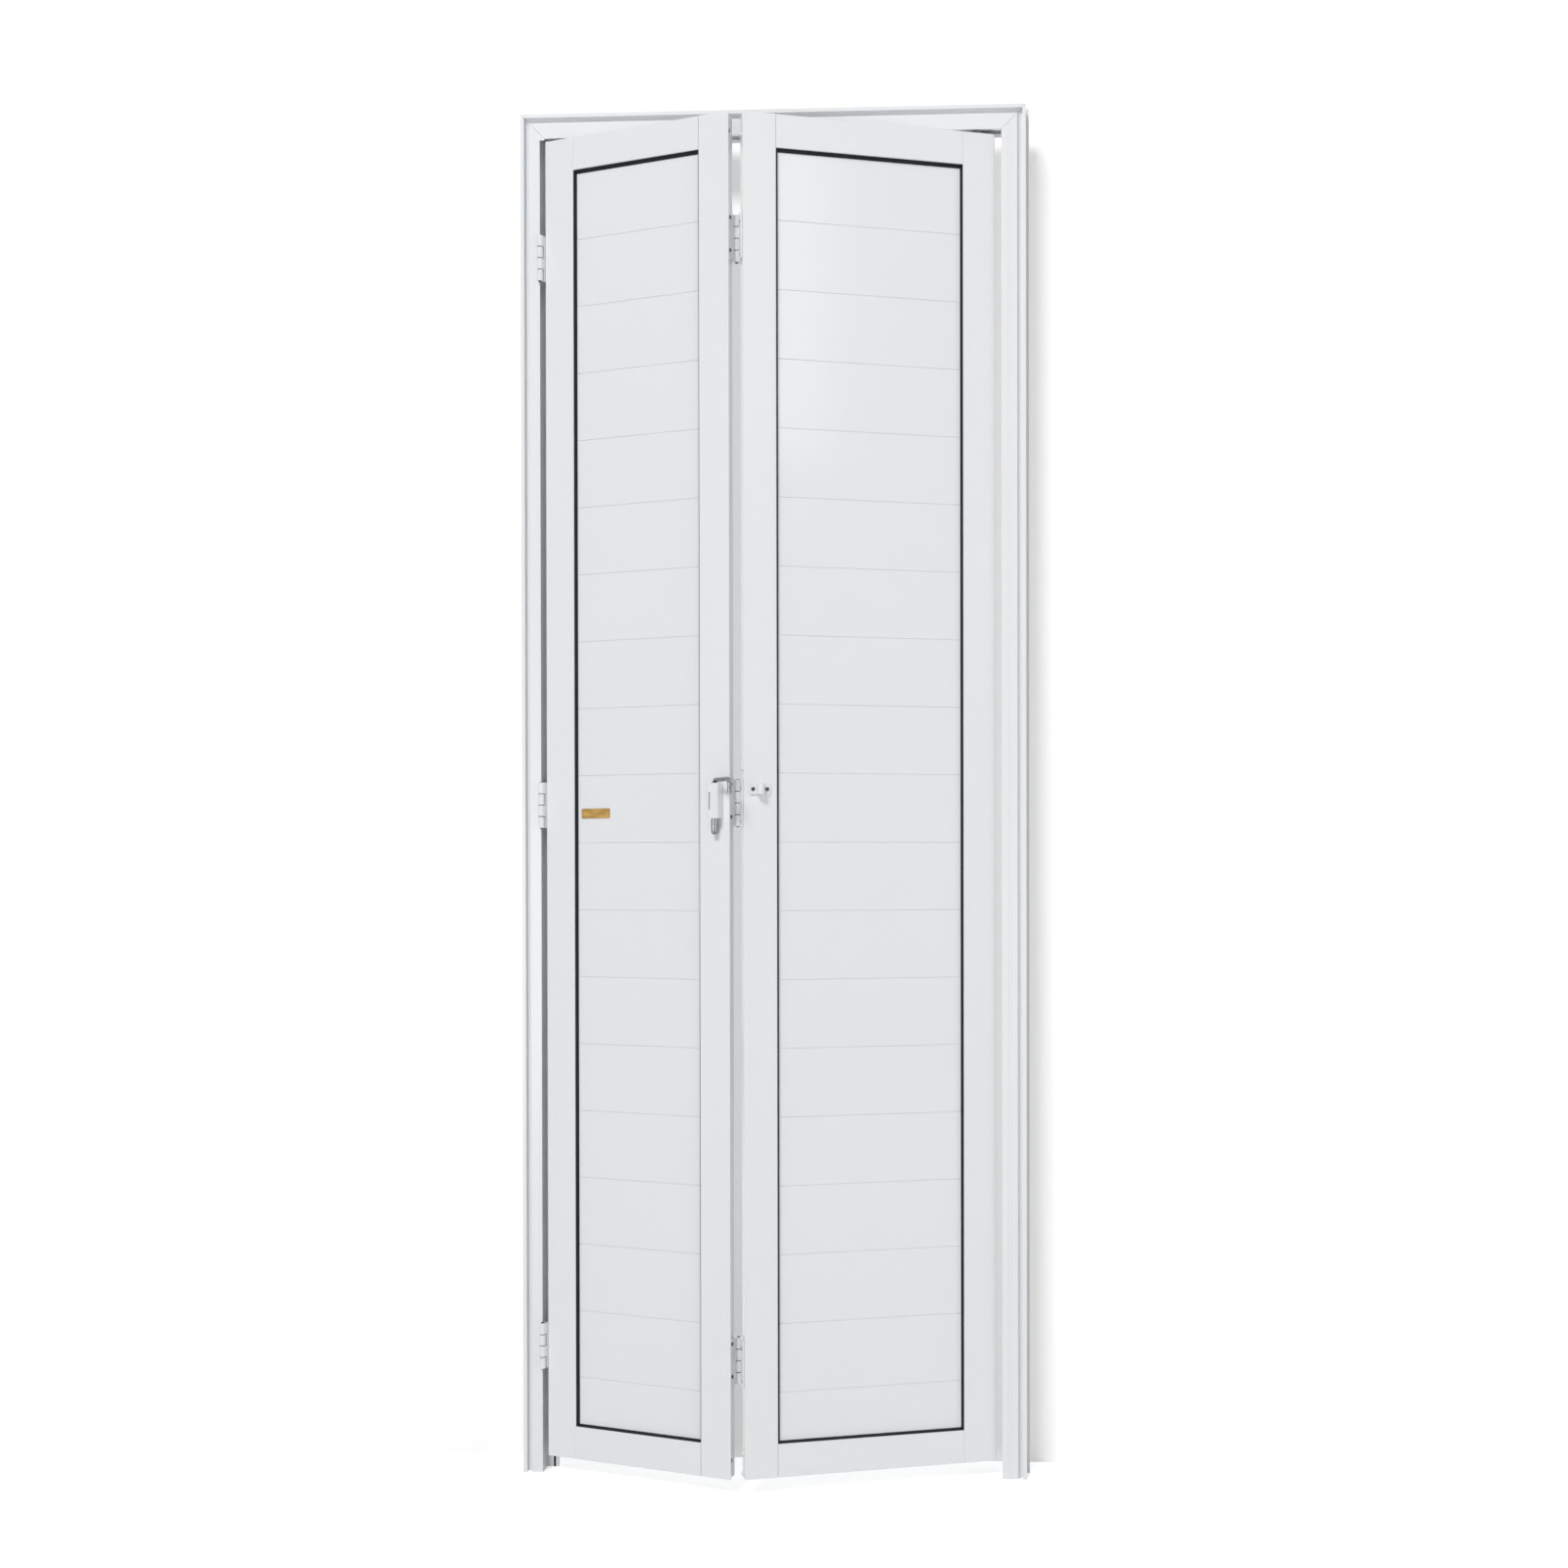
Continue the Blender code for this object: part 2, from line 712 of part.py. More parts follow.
def corner_keys(name, left, right, up):
    """Blocks fast in both ends of a rail, with tongues for the grooves of the stiles beside it."""
    tip = BAR_WIDTH - BOARD_GROOVE + FIT
    shoulder = BAR_WIDTH + FIT + FIT
    wide = BAR_WALL - KEY_BITE
    narrow = PANEL_SETBACK
    shape = [
        (tip, narrow),
        (shoulder, narrow),
        (shoulder, wide),
        (tip + KEY_LENGTH, wide),
        (tip + KEY_LENGTH, LEAF_DEPTH - wide),
        (shoulder, LEAF_DEPTH - wide),
        (shoulder, LEAF_DEPTH - narrow),
        (tip, LEAF_DEPTH - narrow),
    ]
    height = BAR_WIDTH - BOARD_GROOVE - BAR_WALL - KEY_CLEAR - wide
    bottom = LEAF_BOTTOM + wide if up > 0 else LEAF_TOP - wide - height
    parts = []
    for edge, side in ((left, 1), (right, -1)):
        loop = [(edge + side * x, LEAF_FRONT + y) for x, y in shape]
        parts.append((extruded([loop], height), upright(0, 0, bottom)))
    return add_cutter(f"{name}_keys", merged(parts))


def stile(name, edge, inward, reach):
    bottom = LEAF_BOTTOM if inward > 0 else LEAF_TOP
    place = facing((edge, LEAF_FRONT, bottom), (inward, 0, 0), (0, 0, inward))
    return add_piece(name, extruded(bar_loops(reach), LEAF_HEIGHT), WHITE, place)


def rail(name, left, right, up):
    inset = BAR_WIDTH + FIT
    start, height = (right - inset, LEAF_BOTTOM) if up > 0 else (left + inset, LEAF_TOP)
    place = facing((start, LEAF_FRONT, height), (0, 0, up), (-up, 0, 0))
    bar = add_piece(name, extruded(bar_loops(0), right - left - 2 * inset), WHITE, place)
    keys = corner_keys(name, left, right, up)
    join(bar, keys)
    return [bar, keys]


def leaf(side, left, right):
    """The two stiles of one leaf by name, then its other pieces."""
    prefix = f"leaf_{side}_"
    if side == "left":
        stiles = {
            "outer": stile(f"{prefix}outer_stile", left, 1, 0),
            "inner": stile(f"{prefix}inner_stile", right, -1, MEETING_LIP),
        }
    else:
        stiles = {
            "inner": stile(f"{prefix}inner_stile", left, 1, 0),
            "outer": stile(f"{prefix}outer_stile", right, -1, 0),
        }
    others = [
        *rail(f"{prefix}bottom_rail", left, right, 1),
        *rail(f"{prefix}top_rail", left, right, -1),
        leaf_panel(f"{prefix}panel", left, right),
        *leaf_gaskets(prefix, left, right),
    ]
    return stiles, others


# Hinges


def screw(length, clearance=0):
    """A countersunk screw along +Z from its face; with a clearance, the hole for one."""
    head = SCREW_HEAD_RADIUS + clearance
    shank = SCREW_SHANK_RADIUS + clearance
    end = length + clearance
    shoulder = SCREW_HEAD_HEIGHT + clearance
    profile = [(head, clearance), (shank, shoulder), (shank, end), (0, end)]
    start = [(0, -OVERRUN), (head, -OVERRUN)] if clearance else [(0, 0)]
    return turned(start + profile, SCREW_STEPS)


def fixing(name, places, thickness, wall):
    """Two countersunk screws through a plate and the wall of a bar, set in a strip behind that
    wall. Returns the piece, its screws and the shapes of their holes."""
    strip_front = thickness + FIT + wall + FIT
    length = strip_front + BACKING_THICKNESS / 2
    first, last = (place.translation for place in places)
    run = last - first
    half = run.length / 2 + BACKING_MARGIN
    along = places[0].to_3x3() @ Vector((0, 0, 1))
    middle = (first + last) / 2 + along * strip_front
    strip = extruded([rectangle(-half, -BACKING_MARGIN, half, BACKING_MARGIN)], BACKING_THICKNESS)
    piece = add_piece(name, strip, DARK_STEEL, facing(middle, run.normalized(), along))
    screws = add_cutter(f"{name}_screws", merged([(screw(length), place) for place in places]))
    join(piece, screws)
    hole = screw(strip_front - FIT / 2, FIT)
    return piece, screws, [(hole, place) for place in places]


def plate_loops(near, far, reach, out):
    """Plan of a hinge plate and its barrel round the pin at zero: near and far are the plate's two
    faces, out is the way that it runs."""
    first = math.acos(far / BARREL_RADIUS)
    last = math.acos(near / BARREL_RADIUS) - math.tau
    turns = [first + (last - first) * step / BARREL_STEPS for step in range(BARREL_STEPS + 1)]
    barrel = [
        (BARREL_RADIUS * math.cos(turn), out * BARREL_RADIUS * math.sin(turn)) for turn in turns
    ]
    outside = [(near, out * reach), (far, out * reach), *barrel]
    return [outside, circle(BORE_RADIUS, BORE_STEPS)]


def hinge_heights():
    return [LEAF_TOP - share * LEAF_HEIGHT - HINGE_HEIGHT / 2 for share in HINGE_SHARES]


def knuckle_rows(pin, bottom, rows, out):
    """Cutter that clears the barrel where the knuckles are the other plate's."""
    knuckle = HINGE_HEIGHT / KNUCKLES
    wide = BARREL_RADIUS + OVERRUN
    near, far = sorted((-out * wide, out * (BARREL_RADIUS + FIT)))
    parts = []
    for row in rows:
        low = row * knuckle - (KNUCKLE_GAP / 2 if row else OVERRUN)
        high = (row + 1) * knuckle + (KNUCKLE_GAP / 2 if row + 1 < KNUCKLES else OVERRUN)
        box = extruded([rectangle(-wide, near, wide, far)], high - low)
        parts.append((box, upright(*pin, bottom + low)))
    return merged(parts)


def hinge_plates(kind, pin, near, reach, out, first_row, into, wall):
    """Three plates of one kind, each screwed through the wall that it lies on. Returns the pieces
    and the shapes of the holes in that wall."""
    far = near + PLATE_THICKNESS
    face = far if into < 0 else near
    depth = pin[1] + out * SCREW_SEAT_SHARE * reach
    shares = SCREW_SHARES if first_row else [1 - share for share in SCREW_SHARES]
    rows = range(1 - first_row, KNUCKLES, 2)
    found = []
    drilled = []
    for number, bottom in enumerate(hinge_heights(), 1):
        mesh = smoothed(extruded(plate_loops(near, far, reach, out), HINGE_HEIGHT))
        plate = add_piece(f"{kind}_plate_{number}", mesh, WHITE, upright(*pin, bottom))
        clear = add_cutter(f"{kind}_rows_{number}", knuckle_rows(pin, bottom, rows, out))
        heights = [bottom + HINGE_HEIGHT * (1 - share) for share in shares]
        places = [
            facing((pin[0] + face, depth, height), (0, 0, 1), (into, 0, 0)) for height in heights
        ]
        backing, screws, holes = fixing(
            f"{kind}_fixing_{number}", places, PLATE_THICKNESS, wall
        )
        drill = add_cutter(f"{kind}_holes_{number}", merged(holes))
        cut(plate, clear, drill)
        found += [plate, clear, backing, screws, drill]
        drilled += holes
    return found, drilled


def hinge_pins(kind, place):
    radius = BORE_RADIUS - FIT
    end = HINGE_HEIGHT - FIT
    pins = []
    for number, bottom in enumerate(hinge_heights(), 1):
        rod = turned([(0, FIT), (radius, FIT), (radius, end), (0, end)], BORE_STEPS)
        pins.append(add_piece(f"{kind}_pin_{number}", rod, BRIGHT_STEEL, upright(*place, bottom)))
    return pins


# Latch


def latch_case():
    """A case on the leaf's face with a stepped bore for the bush and the sleeve."""
    x, y = LATCH_ROD
    half = CASE_WIDTH / 2
    front = y - BUSH_RADIUS - FIT - CASE_WALL
    corners = rectangle(x - half, front, x + half, LEAF_FRONT - FIT)
    body = extruded([eased(corners, (0, 1), CASE_EASE)], CASE_HEIGHT)
    case = add_piece("latch_case", body, WHITE, upright(0, 0, CASE_BOTTOM))
    sleeve = SLEEVE_RADIUS + FIT + FIT
    bore = [
        (0, CASE_BOTTOM - OVERRUN),
        (sleeve, CASE_BOTTOM - OVERRUN),
        (sleeve, CASE_BOTTOM + CASE_FLOOR),
        (BUSH_RADIUS + FIT, CASE_BOTTOM + CASE_FLOOR),
        (BUSH_RADIUS + FIT, CASE_TOP + OVERRUN),
        (0, CASE_TOP + OVERRUN),
    ]
    hole = add_cutter("latch_bore", turned(bore, ROUND_STEPS), upright(x, y, 0))
    slot_x = x - CASE_SLOT_AWAY
    slot = rectangle(
        slot_x - CASE_SLOT_WIDTH / 2, front - OVERRUN, slot_x + CASE_SLOT_WIDTH / 2, y
    )
    slot_bottom = CASE_BOTTOM + (CASE_HEIGHT - CASE_SLOT_HEIGHT) / 2
    window = add_cutter(
        "latch_slot", extruded([slot], CASE_SLOT_HEIGHT), upright(0, 0, slot_bottom)
    )
    cut(case, hole, window)
    return [case, hole, window]


def latch_bush():
    inner = SLEEVE_RADIUS + FIT
    bottom = CASE_BOTTOM + CASE_FLOOR + FIT
    top = CASE_TOP - FIT
    ring = [(inner, bottom), (BUSH_RADIUS, bottom), (BUSH_RADIUS, top), (inner, top)]
    return add_piece(
        "latch_bush", turned(ring, ROUND_STEPS, closed=True), GREY_NYLON, upright(*LATCH_ROD, 0)
    )


def hook_bar(reach, arm_height, leg_end):
    """A round bar up from the sleeve, over to the keeper and down."""
    path = [(0, CASE_TOP - HOOK_ROOT)]
    for centre_x, first in ((HOOK_BEND, math.pi), (reach - HOOK_BEND, math.pi / 2)):
        for step in range(BEND_STEPS + 1):
            turn = first - math.pi / 2 * step / BEND_STEPS
            path.append(
                (
                    centre_x + HOOK_BEND * math.cos(turn),
                    arm_height - HOOK_BEND + HOOK_BEND * math.sin(turn),
                )
            )
    path.append((reach, leg_end))
    curve = bpy.data.curves.new("hook", "CURVE")
    curve.dimensions = "3D"
    curve.bevel_depth = HOOK_RADIUS
    curve.bevel_resolution = BEND_STEPS
    curve.use_fill_caps = True
    spline = curve.splines.new("POLY")
    spline.points.add(len(path) - 1)
    for point, (x, z) in zip(spline.points, path):
        point.co = (x, 0, z, 1)
    return smoothed(cleaned(meshed(curve)))


def latch_rod():
    """A sleeve with a domed foot, and the hook bar that stands in its top."""
    reach = KEEPER_EYE[0] - LATCH_ROD[0]
    arm_height = CASE_TOP + HOOK_RISE
    foot = CASE_BOTTOM - SLEEVE_DROP
    dome = [
        (
            SLEEVE_RADIUS * math.sin(math.pi / 2 * step / BEND_STEPS),
            foot + SLEEVE_RADIUS * (1 - math.cos(math.pi / 2 * step / BEND_STEPS)),
        )
        for step in range(BEND_STEPS + 1)
    ]
    top = CASE_TOP + SLEEVE_RISE
    sleeve = turned([*dome, (SLEEVE_RADIUS, top), (0, top)], ROUND_STEPS)
    place = upright(*LATCH_ROD, 0)
    rod = add_piece("latch_rod", sleeve, BRIGHT_STEEL, place)
    bar = add_cutter("hook_bar", hook_bar(reach, arm_height, arm_height - HOOK_LEG), place)
    join(rod, bar)
    return [rod, bar]


def keeper():
    """A strap with a standing eye that the hook drops into. Returns the pieces and the shapes of
    the holes in the stile."""
    x, y = KEEPER_EYE
    bore = HOOK_RADIUS + KEEPER_PLAY
    eye = bore + KEEPER_WALL
    half = KEEPER_WIDTH / 2
    back = LEAF_FRONT - FIT
    face = back - KEEPER_THICKNESS
    turns = [-math.pi * step / BEND_STEPS / 2 for step in range(2 * BEND_STEPS + 1)]
    nose = [(x + eye * math.cos(turn), y + eye * math.sin(turn)) for turn in turns]
    root = (face + back) / 2
    outside = [(x + eye, root), *nose, (x - eye, root)]
    eye_height = KEEPER_HEIGHT - 2 * KEEPER_RIM
    ring = smoothed(extruded([outside, circle(bore, BORE_STEPS, x, y)], eye_height))
    low = KEEPER_TOP - KEEPER_HEIGHT
    plate = add_piece("keeper", ring, WHITE, upright(0, 0, low + KEEPER_RIM))
    corners = rectangle(x - half, low, x + half, KEEPER_TOP)
    foot = extruded([corners], KEEPER_THICKNESS)
    strap = add_cutter("keeper_foot", foot, facing((0, back, 0), (1, 0, 0), (0, -1, 0)))
    join(plate, strap)
    middle = KEEPER_TOP - KEEPER_HEIGHT / 2
    places = [
        facing((x + side * KEEPER_SCREW_SHARE * KEEPER_WIDTH, face, middle), (1, 0, 0), (0, 1, 0))
        for side in (-1, 1)
    ]
    backing, screws, holes = fixing("keeper_fixing", places, KEEPER_THICKNESS, BAR_WALL)
    drill = add_cutter("keeper_holes", merged(holes))
    cut(plate, drill)
    return [plate, strap, backing, screws, drill], holes


def name_plate():
    start = LEFT_LEAF_LEFT + BAR_WIDTH + FIT + GASKET_WIDTH + NAME_PLATE_START
    bottom = MIDDLE_HINGE + NAME_PLATE_RISE
    corners = rectangle(
        start, bottom, start + NAME_PLATE_WIDTH, bottom + NAME_PLATE_HEIGHT
    )
    plate = extruded([eased(corners, range(4), NAME_PLATE_EASE)], NAME_PLATE_THICKNESS)
    back = LEAF_FRONT + PANEL_SETBACK - FIT
    return add_piece("name_plate", plate, GOLD, facing((0, back, 0), (1, 0, 0), (0, -1, 0)))


# Guide


def guide():
    """A plug in the outer stile's top with the pin that stands in it."""
    x, y = GUIDE_PIN
    wide = BAR_WALL + FIT
    flange_top = LEAF_TOP + FIT + GUIDE_FLANGE
    narrow = GUIDE_FLANGE_INSET
    half = GUIDE_PLUG_WIDTH / 2
    drop = GUIDE_PLUG_DROP + FIT + GUIDE_FLANGE / 2
    body = extruded([rectangle(-half, wide, half, LEAF_DEPTH - wide)], drop)
    place = upright(x, LEAF_FRONT, LEAF_TOP - GUIDE_PLUG_DROP)
    plug = add_piece("guide_plug", body, BLACK_PLASTIC, place)
    rim = half + GUIDE_FLANGE_INSET
    plate = extruded([rectangle(-rim, narrow, rim, LEAF_DEPTH - narrow)], GUIDE_FLANGE)
    flange = add_cutter("guide_flange", plate, upright(x, LEAF_FRONT, LEAF_TOP + FIT))
    join(plug, flange)
    foot = flange_top - GUIDE_PIN_DROP
    hole_radius = GUIDE_PIN_RADIUS + FIT
    hole = [
        (0, foot - FIT),
        (hole_radius, foot - FIT),
        (hole_radius, flange_top + OVERRUN),
        (0, flange_top + OVERRUN),
    ]
    socket = add_cutter("guide_pin_hole", turned(hole, BORE_STEPS), upright(x, y, 0))
    cut(plug, socket)
    top = ROLLER_BOTTOM + ROLLER_HEIGHT + PIN_HEAD
    rod = [(0, foot), (GUIDE_PIN_RADIUS, foot), (GUIDE_PIN_RADIUS, top), (0, top)]
    pin = add_piece("guide_pin", turned(rod, BORE_STEPS), BRIGHT_STEEL, upright(x, y, 0))
    return [plug, flange, socket, pin]


def guide_roller():
    inner = GUIDE_PIN_RADIUS + FIT
    top = ROLLER_BOTTOM + ROLLER_HEIGHT
    ring = [
        (inner, ROLLER_BOTTOM),
        (ROLLER_RADIUS, ROLLER_BOTTOM),
        (ROLLER_RADIUS, top),
        (inner, top),
    ]
    return add_piece(
        "guide_roller", turned(ring, ROUND_STEPS, closed=True), WHITE_NYLON, upright(*GUIDE_PIN, 0)
    )


# Assembly


def turn_back():
    """How far the right leaf turns the other way, so that its guide pin keeps to the track."""
    width, depth = (fold - jamb for fold, jamb in zip(FOLD_PIN, JAMB_PIN))
    fold_depth = JAMB_PIN[1] + depth * math.cos(LEFT_OPENING) - width * math.sin(LEFT_OPENING)
    guide_depth = GUIDE_PIN[1] - GUIDE_DRIFT
    across, back = (guide - fold for guide, fold in zip(GUIDE_PIN, FOLD_PIN))
    rise = (guide_depth - fold_depth) / math.hypot(across, back)
    return math.asin(rise) - math.atan2(back, across)


left_turn = pivot_at("jamb_hinge_axis", JAMB_PIN, -LEFT_OPENING)
fold_turn = pivot_at("fold_hinge_axis", FOLD_PIN, LEFT_OPENING + turn_back(), left_turn)
roller_turn = pivot_at("roller_axis", GUIDE_PIN, 0, fold_turn)
latch_turn = pivot_at("latch_axis", LATCH_ROD, -LATCH_SWING, left_turn)

jamb = hinge_jamb()
closing_jamb()
head()
corner_cleats()
left_stiles, left_others = leaf("left", LEFT_LEAF_LEFT, LEFT_LEAF_RIGHT)
right_stiles, right_others = leaf("right", RIGHT_LEAF_LEFT, RIGHT_LEAF_RIGHT)

jamb_near = LEFT_FACE + REBATE_WIDTH + FIT - JAMB_PIN[0]
jamb_hardware, jamb_holes = hinge_plates(
    "jamb_hinge_frame", JAMB_PIN, jamb_near, JAMB_PLATE_REACH, 1, 0, -1, FRAME_WALL
)
hinge_pins("jamb_hinge", JAMB_PIN)
leaf_near = BARREL_RADIUS - PLATE_THICKNESS
outer_hardware, outer_holes = hinge_plates(
    "jamb_hinge_leaf", JAMB_PIN, leaf_near, JAMB_PLATE_REACH, 1, 1, 1, BAR_WALL
)
inner_hardware, inner_holes = hinge_plates(
    "fold_hinge_left", FOLD_PIN, -BARREL_RADIUS, FOLD_PLATE_REACH, -1, 1, -1, BAR_WALL
)
right_hardware, right_holes = hinge_plates(
    "fold_hinge_right", FOLD_PIN, leaf_near, FOLD_PLATE_REACH, -1, 0, 1, BAR_WALL
)
keeper_hardware, keeper_holes = keeper()
drills = []
for bar, holes in (
    (jamb, jamb_holes),
    (left_stiles["outer"], outer_holes),
    (left_stiles["inner"], inner_holes),
    (right_stiles["inner"], right_holes + keeper_holes),
):
    drills.append(add_cutter(f"{bar.name}_holes", merged(holes)))
    cut(bar, drills[-1])

on_left = [*left_stiles.values(), *left_others, *outer_hardware, *inner_hardware, *drills[1:3]]
hang([*on_left, *latch_case(), name_plate()], left_turn)
on_right = [*right_stiles.values(), *right_others, *right_hardware, *keeper_hardware, drills[3]]
hang([*on_right, *hinge_pins("fold_hinge", FOLD_PIN), *guide()], fold_turn)
hang([guide_roller()], roller_turn)
hang([latch_bush(), *latch_rod()], latch_turn)
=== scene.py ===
# White bifold door in its frame: finishes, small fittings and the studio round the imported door
import json
import math

import bmesh
import bpy
from mathutils import Matrix, Vector


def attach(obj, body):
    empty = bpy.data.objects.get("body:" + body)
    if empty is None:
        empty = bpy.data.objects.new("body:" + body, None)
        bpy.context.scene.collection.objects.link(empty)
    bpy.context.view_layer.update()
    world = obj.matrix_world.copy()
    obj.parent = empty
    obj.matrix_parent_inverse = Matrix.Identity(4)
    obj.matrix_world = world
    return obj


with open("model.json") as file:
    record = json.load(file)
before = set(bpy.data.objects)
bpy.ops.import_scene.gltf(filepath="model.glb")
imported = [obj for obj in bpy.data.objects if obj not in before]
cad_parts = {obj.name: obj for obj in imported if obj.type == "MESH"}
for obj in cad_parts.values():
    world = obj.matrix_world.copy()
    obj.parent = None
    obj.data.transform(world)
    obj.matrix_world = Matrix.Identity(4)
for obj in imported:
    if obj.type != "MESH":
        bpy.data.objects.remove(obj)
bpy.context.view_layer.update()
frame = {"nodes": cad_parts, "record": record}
print("packed door loaded:", len(frame["nodes"]), "nodes")

# The camera, set to the perspective in which the door was photographed
cameraSetup = {
    "place": (0.3873, -2.8077, 0.9416),
    "yaw": 0.051,       # to the left of straight in
    "pitch": -0.0063,
    "roll": 0.0012,
    "focal": 1874.335,  # in pixels of the picture, as are the next two
    "middle": (950.0, 893.77),
    "picture": 1600,
    "sensor": 36.0,     # millimetres
}


def addCamera(setup):
    data = bpy.data.cameras.new("camera")
    picture = setup["picture"]
    data.sensor_width = setup["sensor"]
    data.lens = setup["focal"] * setup["sensor"] / picture
    data.shift_x = (picture / 2 - setup["middle"][0]) / picture
    data.shift_y = (setup["middle"][1] - picture / 2) / picture
    camera = bpy.data.objects.new("camera", data)
    turn = Matrix.Rotation(setup["yaw"], 4, "Z")
    turn @= Matrix.Rotation(math.pi / 2 + setup["pitch"], 4, "X")
    turn @= Matrix.Rotation(-setup["roll"], 4, "Z")
    camera.matrix_world = Matrix.Translation(setup["place"]) @ turn
    bpy.context.scene.collection.objects.link(camera)
    bpy.context.scene.camera = camera


addCamera(cameraSetup)
print("camera set")


# Small helpers for the node trees. The places are only where a node lies in the editor.
def addNode(tree, kind, place, **settings):
    node = tree.nodes.new(kind)
    node.location = place
    for key, value in settings.items():
        setattr(node, key, value)
    return node


# Shader sockets: the word for each in a finish, and its value where the finish leaves it out
plainShader = {
    "Metallic": ("metallic", 0.0),
    "Coat Weight": ("coat", 0.0),
    "Coat Roughness": ("coatRoughness", 0.1),
    "Specular IOR Level": ("specular", 0.5),
}


def startMaterial(name, spec):
    material = bpy.data.materials.new(name)
    material.use_nodes = True
    tree = material.node_tree
    shader = tree.nodes["Principled BSDF"]
    for socket, (word, usual) in plainShader.items():
        shader.inputs[socket].default_value = spec.get(word, usual)
    return material, tree, shader


def placeCoords(tree, stretch):
    coords = addNode(tree, "ShaderNodeTexCoord", (-1200, 0))
    mapping = addNode(tree, "ShaderNodeMapping", (-1020, 0))
    mapping.inputs["Scale"].default_value = stretch
    tree.links.new(coords.outputs["Object"], mapping.inputs["Vector"])
    return mapping.outputs["Vector"]


# Detail and roughness of the noise under each finish, and the span that nearly all of it lies in
finishNoise = {
    "drift": (3.0, 0.5),
    "gloss": (4.0, 0.6),
    "relief": (2.0, 0.5),
    "span": (0.3, 0.7),
}


def noise(tree, vector, scale, place, kind):
    detail, rough = finishNoise[kind]
    node = addNode(tree, "ShaderNodeTexNoise", place)
    node.inputs["Scale"].default_value = scale
    node.inputs["Detail"].default_value = detail
    node.inputs["Roughness"].default_value = rough
    tree.links.new(vector, node.inputs["Vector"])
    return node.outputs["Fac"]


def spread(tree, value, low, high, place):
    node = addNode(tree, "ShaderNodeMapRange", place)
    sockets = ("From Min", "From Max", "To Min", "To Max")
    for socket, number in zip(sockets, (*finishNoise["span"], low, high)):
        node.inputs[socket].default_value = number
    tree.links.new(value, node.inputs["Value"])
    return node.outputs["Result"]


def twoTone(tree, value, first, second, place):
    node = addNode(tree, "ShaderNodeMix", place, data_type="RGBA")
    node.inputs["A"].default_value = (*first, 1)
    node.inputs["B"].default_value = (*second, 1)
    share = spread(tree, value, 0.0, 1.0, (place[0] - 180, place[1]))
    tree.links.new(share, node.inputs["Factor"])
    return node.outputs["Result"]


def bumped(tree, height, depth, place, under=None):
    node = addNode(tree, "ShaderNodeBump", place)
    node.inputs["Distance"].default_value = depth
    tree.links.new(height, node.inputs["Height"])
    if under:
        tree.links.new(under, node.inputs["Normal"])
    return node.outputs["Normal"]


def surface(name, spec):
    # tone drift, uneven gloss and a fine relief, all in metres of the door itself
    material, tree, shader = startMaterial(name, spec)
    vector = placeCoords(tree, spec.get("stretch", (1, 1, 1)))
    drift = noise(tree, vector, spec["driftScale"], (-900, 250), "drift")
    tree.links.new(twoTone(tree, drift, *spec["tones"], (-300, 250)), shader.inputs["Base Color"])
    gloss = noise(tree, vector, spec["glossScale"], (-900, 0), "gloss")
    tree.links.new(spread(tree, gloss, *spec["gloss"], (-500, 0)), shader.inputs["Roughness"])
    relief = noise(tree, vector, spec["reliefScale"], (-900, -250), "relief")
    normal = bumped(tree, relief, spec["reliefDepth"], (-300, -250))
    tree.links.new(normal, shader.inputs["Normal"])
    return material, tree, shader, normal


# Powder coat on the extrusions, hinge plates, keeper and latch case. In every finish, gloss is the
# span of the roughness, the scales count the noise's grains in a metre, and depths are in metres.
powderCoat = {
    "tones": ((0.812, 0.824, 0.838), (0.828, 0.839, 0.85)),
    "driftScale": 1.4,
    "gloss": (0.27, 0.31),
    "glossScale": 260.0,
    "reliefScale": 950.0,       # orange peel about a millimetre across
    "reliefDepth": 0.000012,
    "coat": 0.15,
    "coatRoughness": 0.12,
}
coatMaterial = surface("satin_white_powder_coat", powderCoat)[0]

# The boards: the same coat, each board very slightly crowned across its width
boardFace = {
    "pitch": 0.103,
    "lastJoint": 1.9022,        # height of the uppermost joint that shows
    "crown": 0.00022,           # how far the middle of a board stands proud
    "tones": ((0.812, 0.824, 0.838), (0.826, 0.837, 0.848)),
    "driftScale": 1.2,
    "gloss": (0.11, 0.14),
    "glossScale": 150.0,
    "reliefScale": 700.0,
    "reliefDepth": 0.000007,
    "coat": 0.2,
    "coatRoughness": 0.08,
}


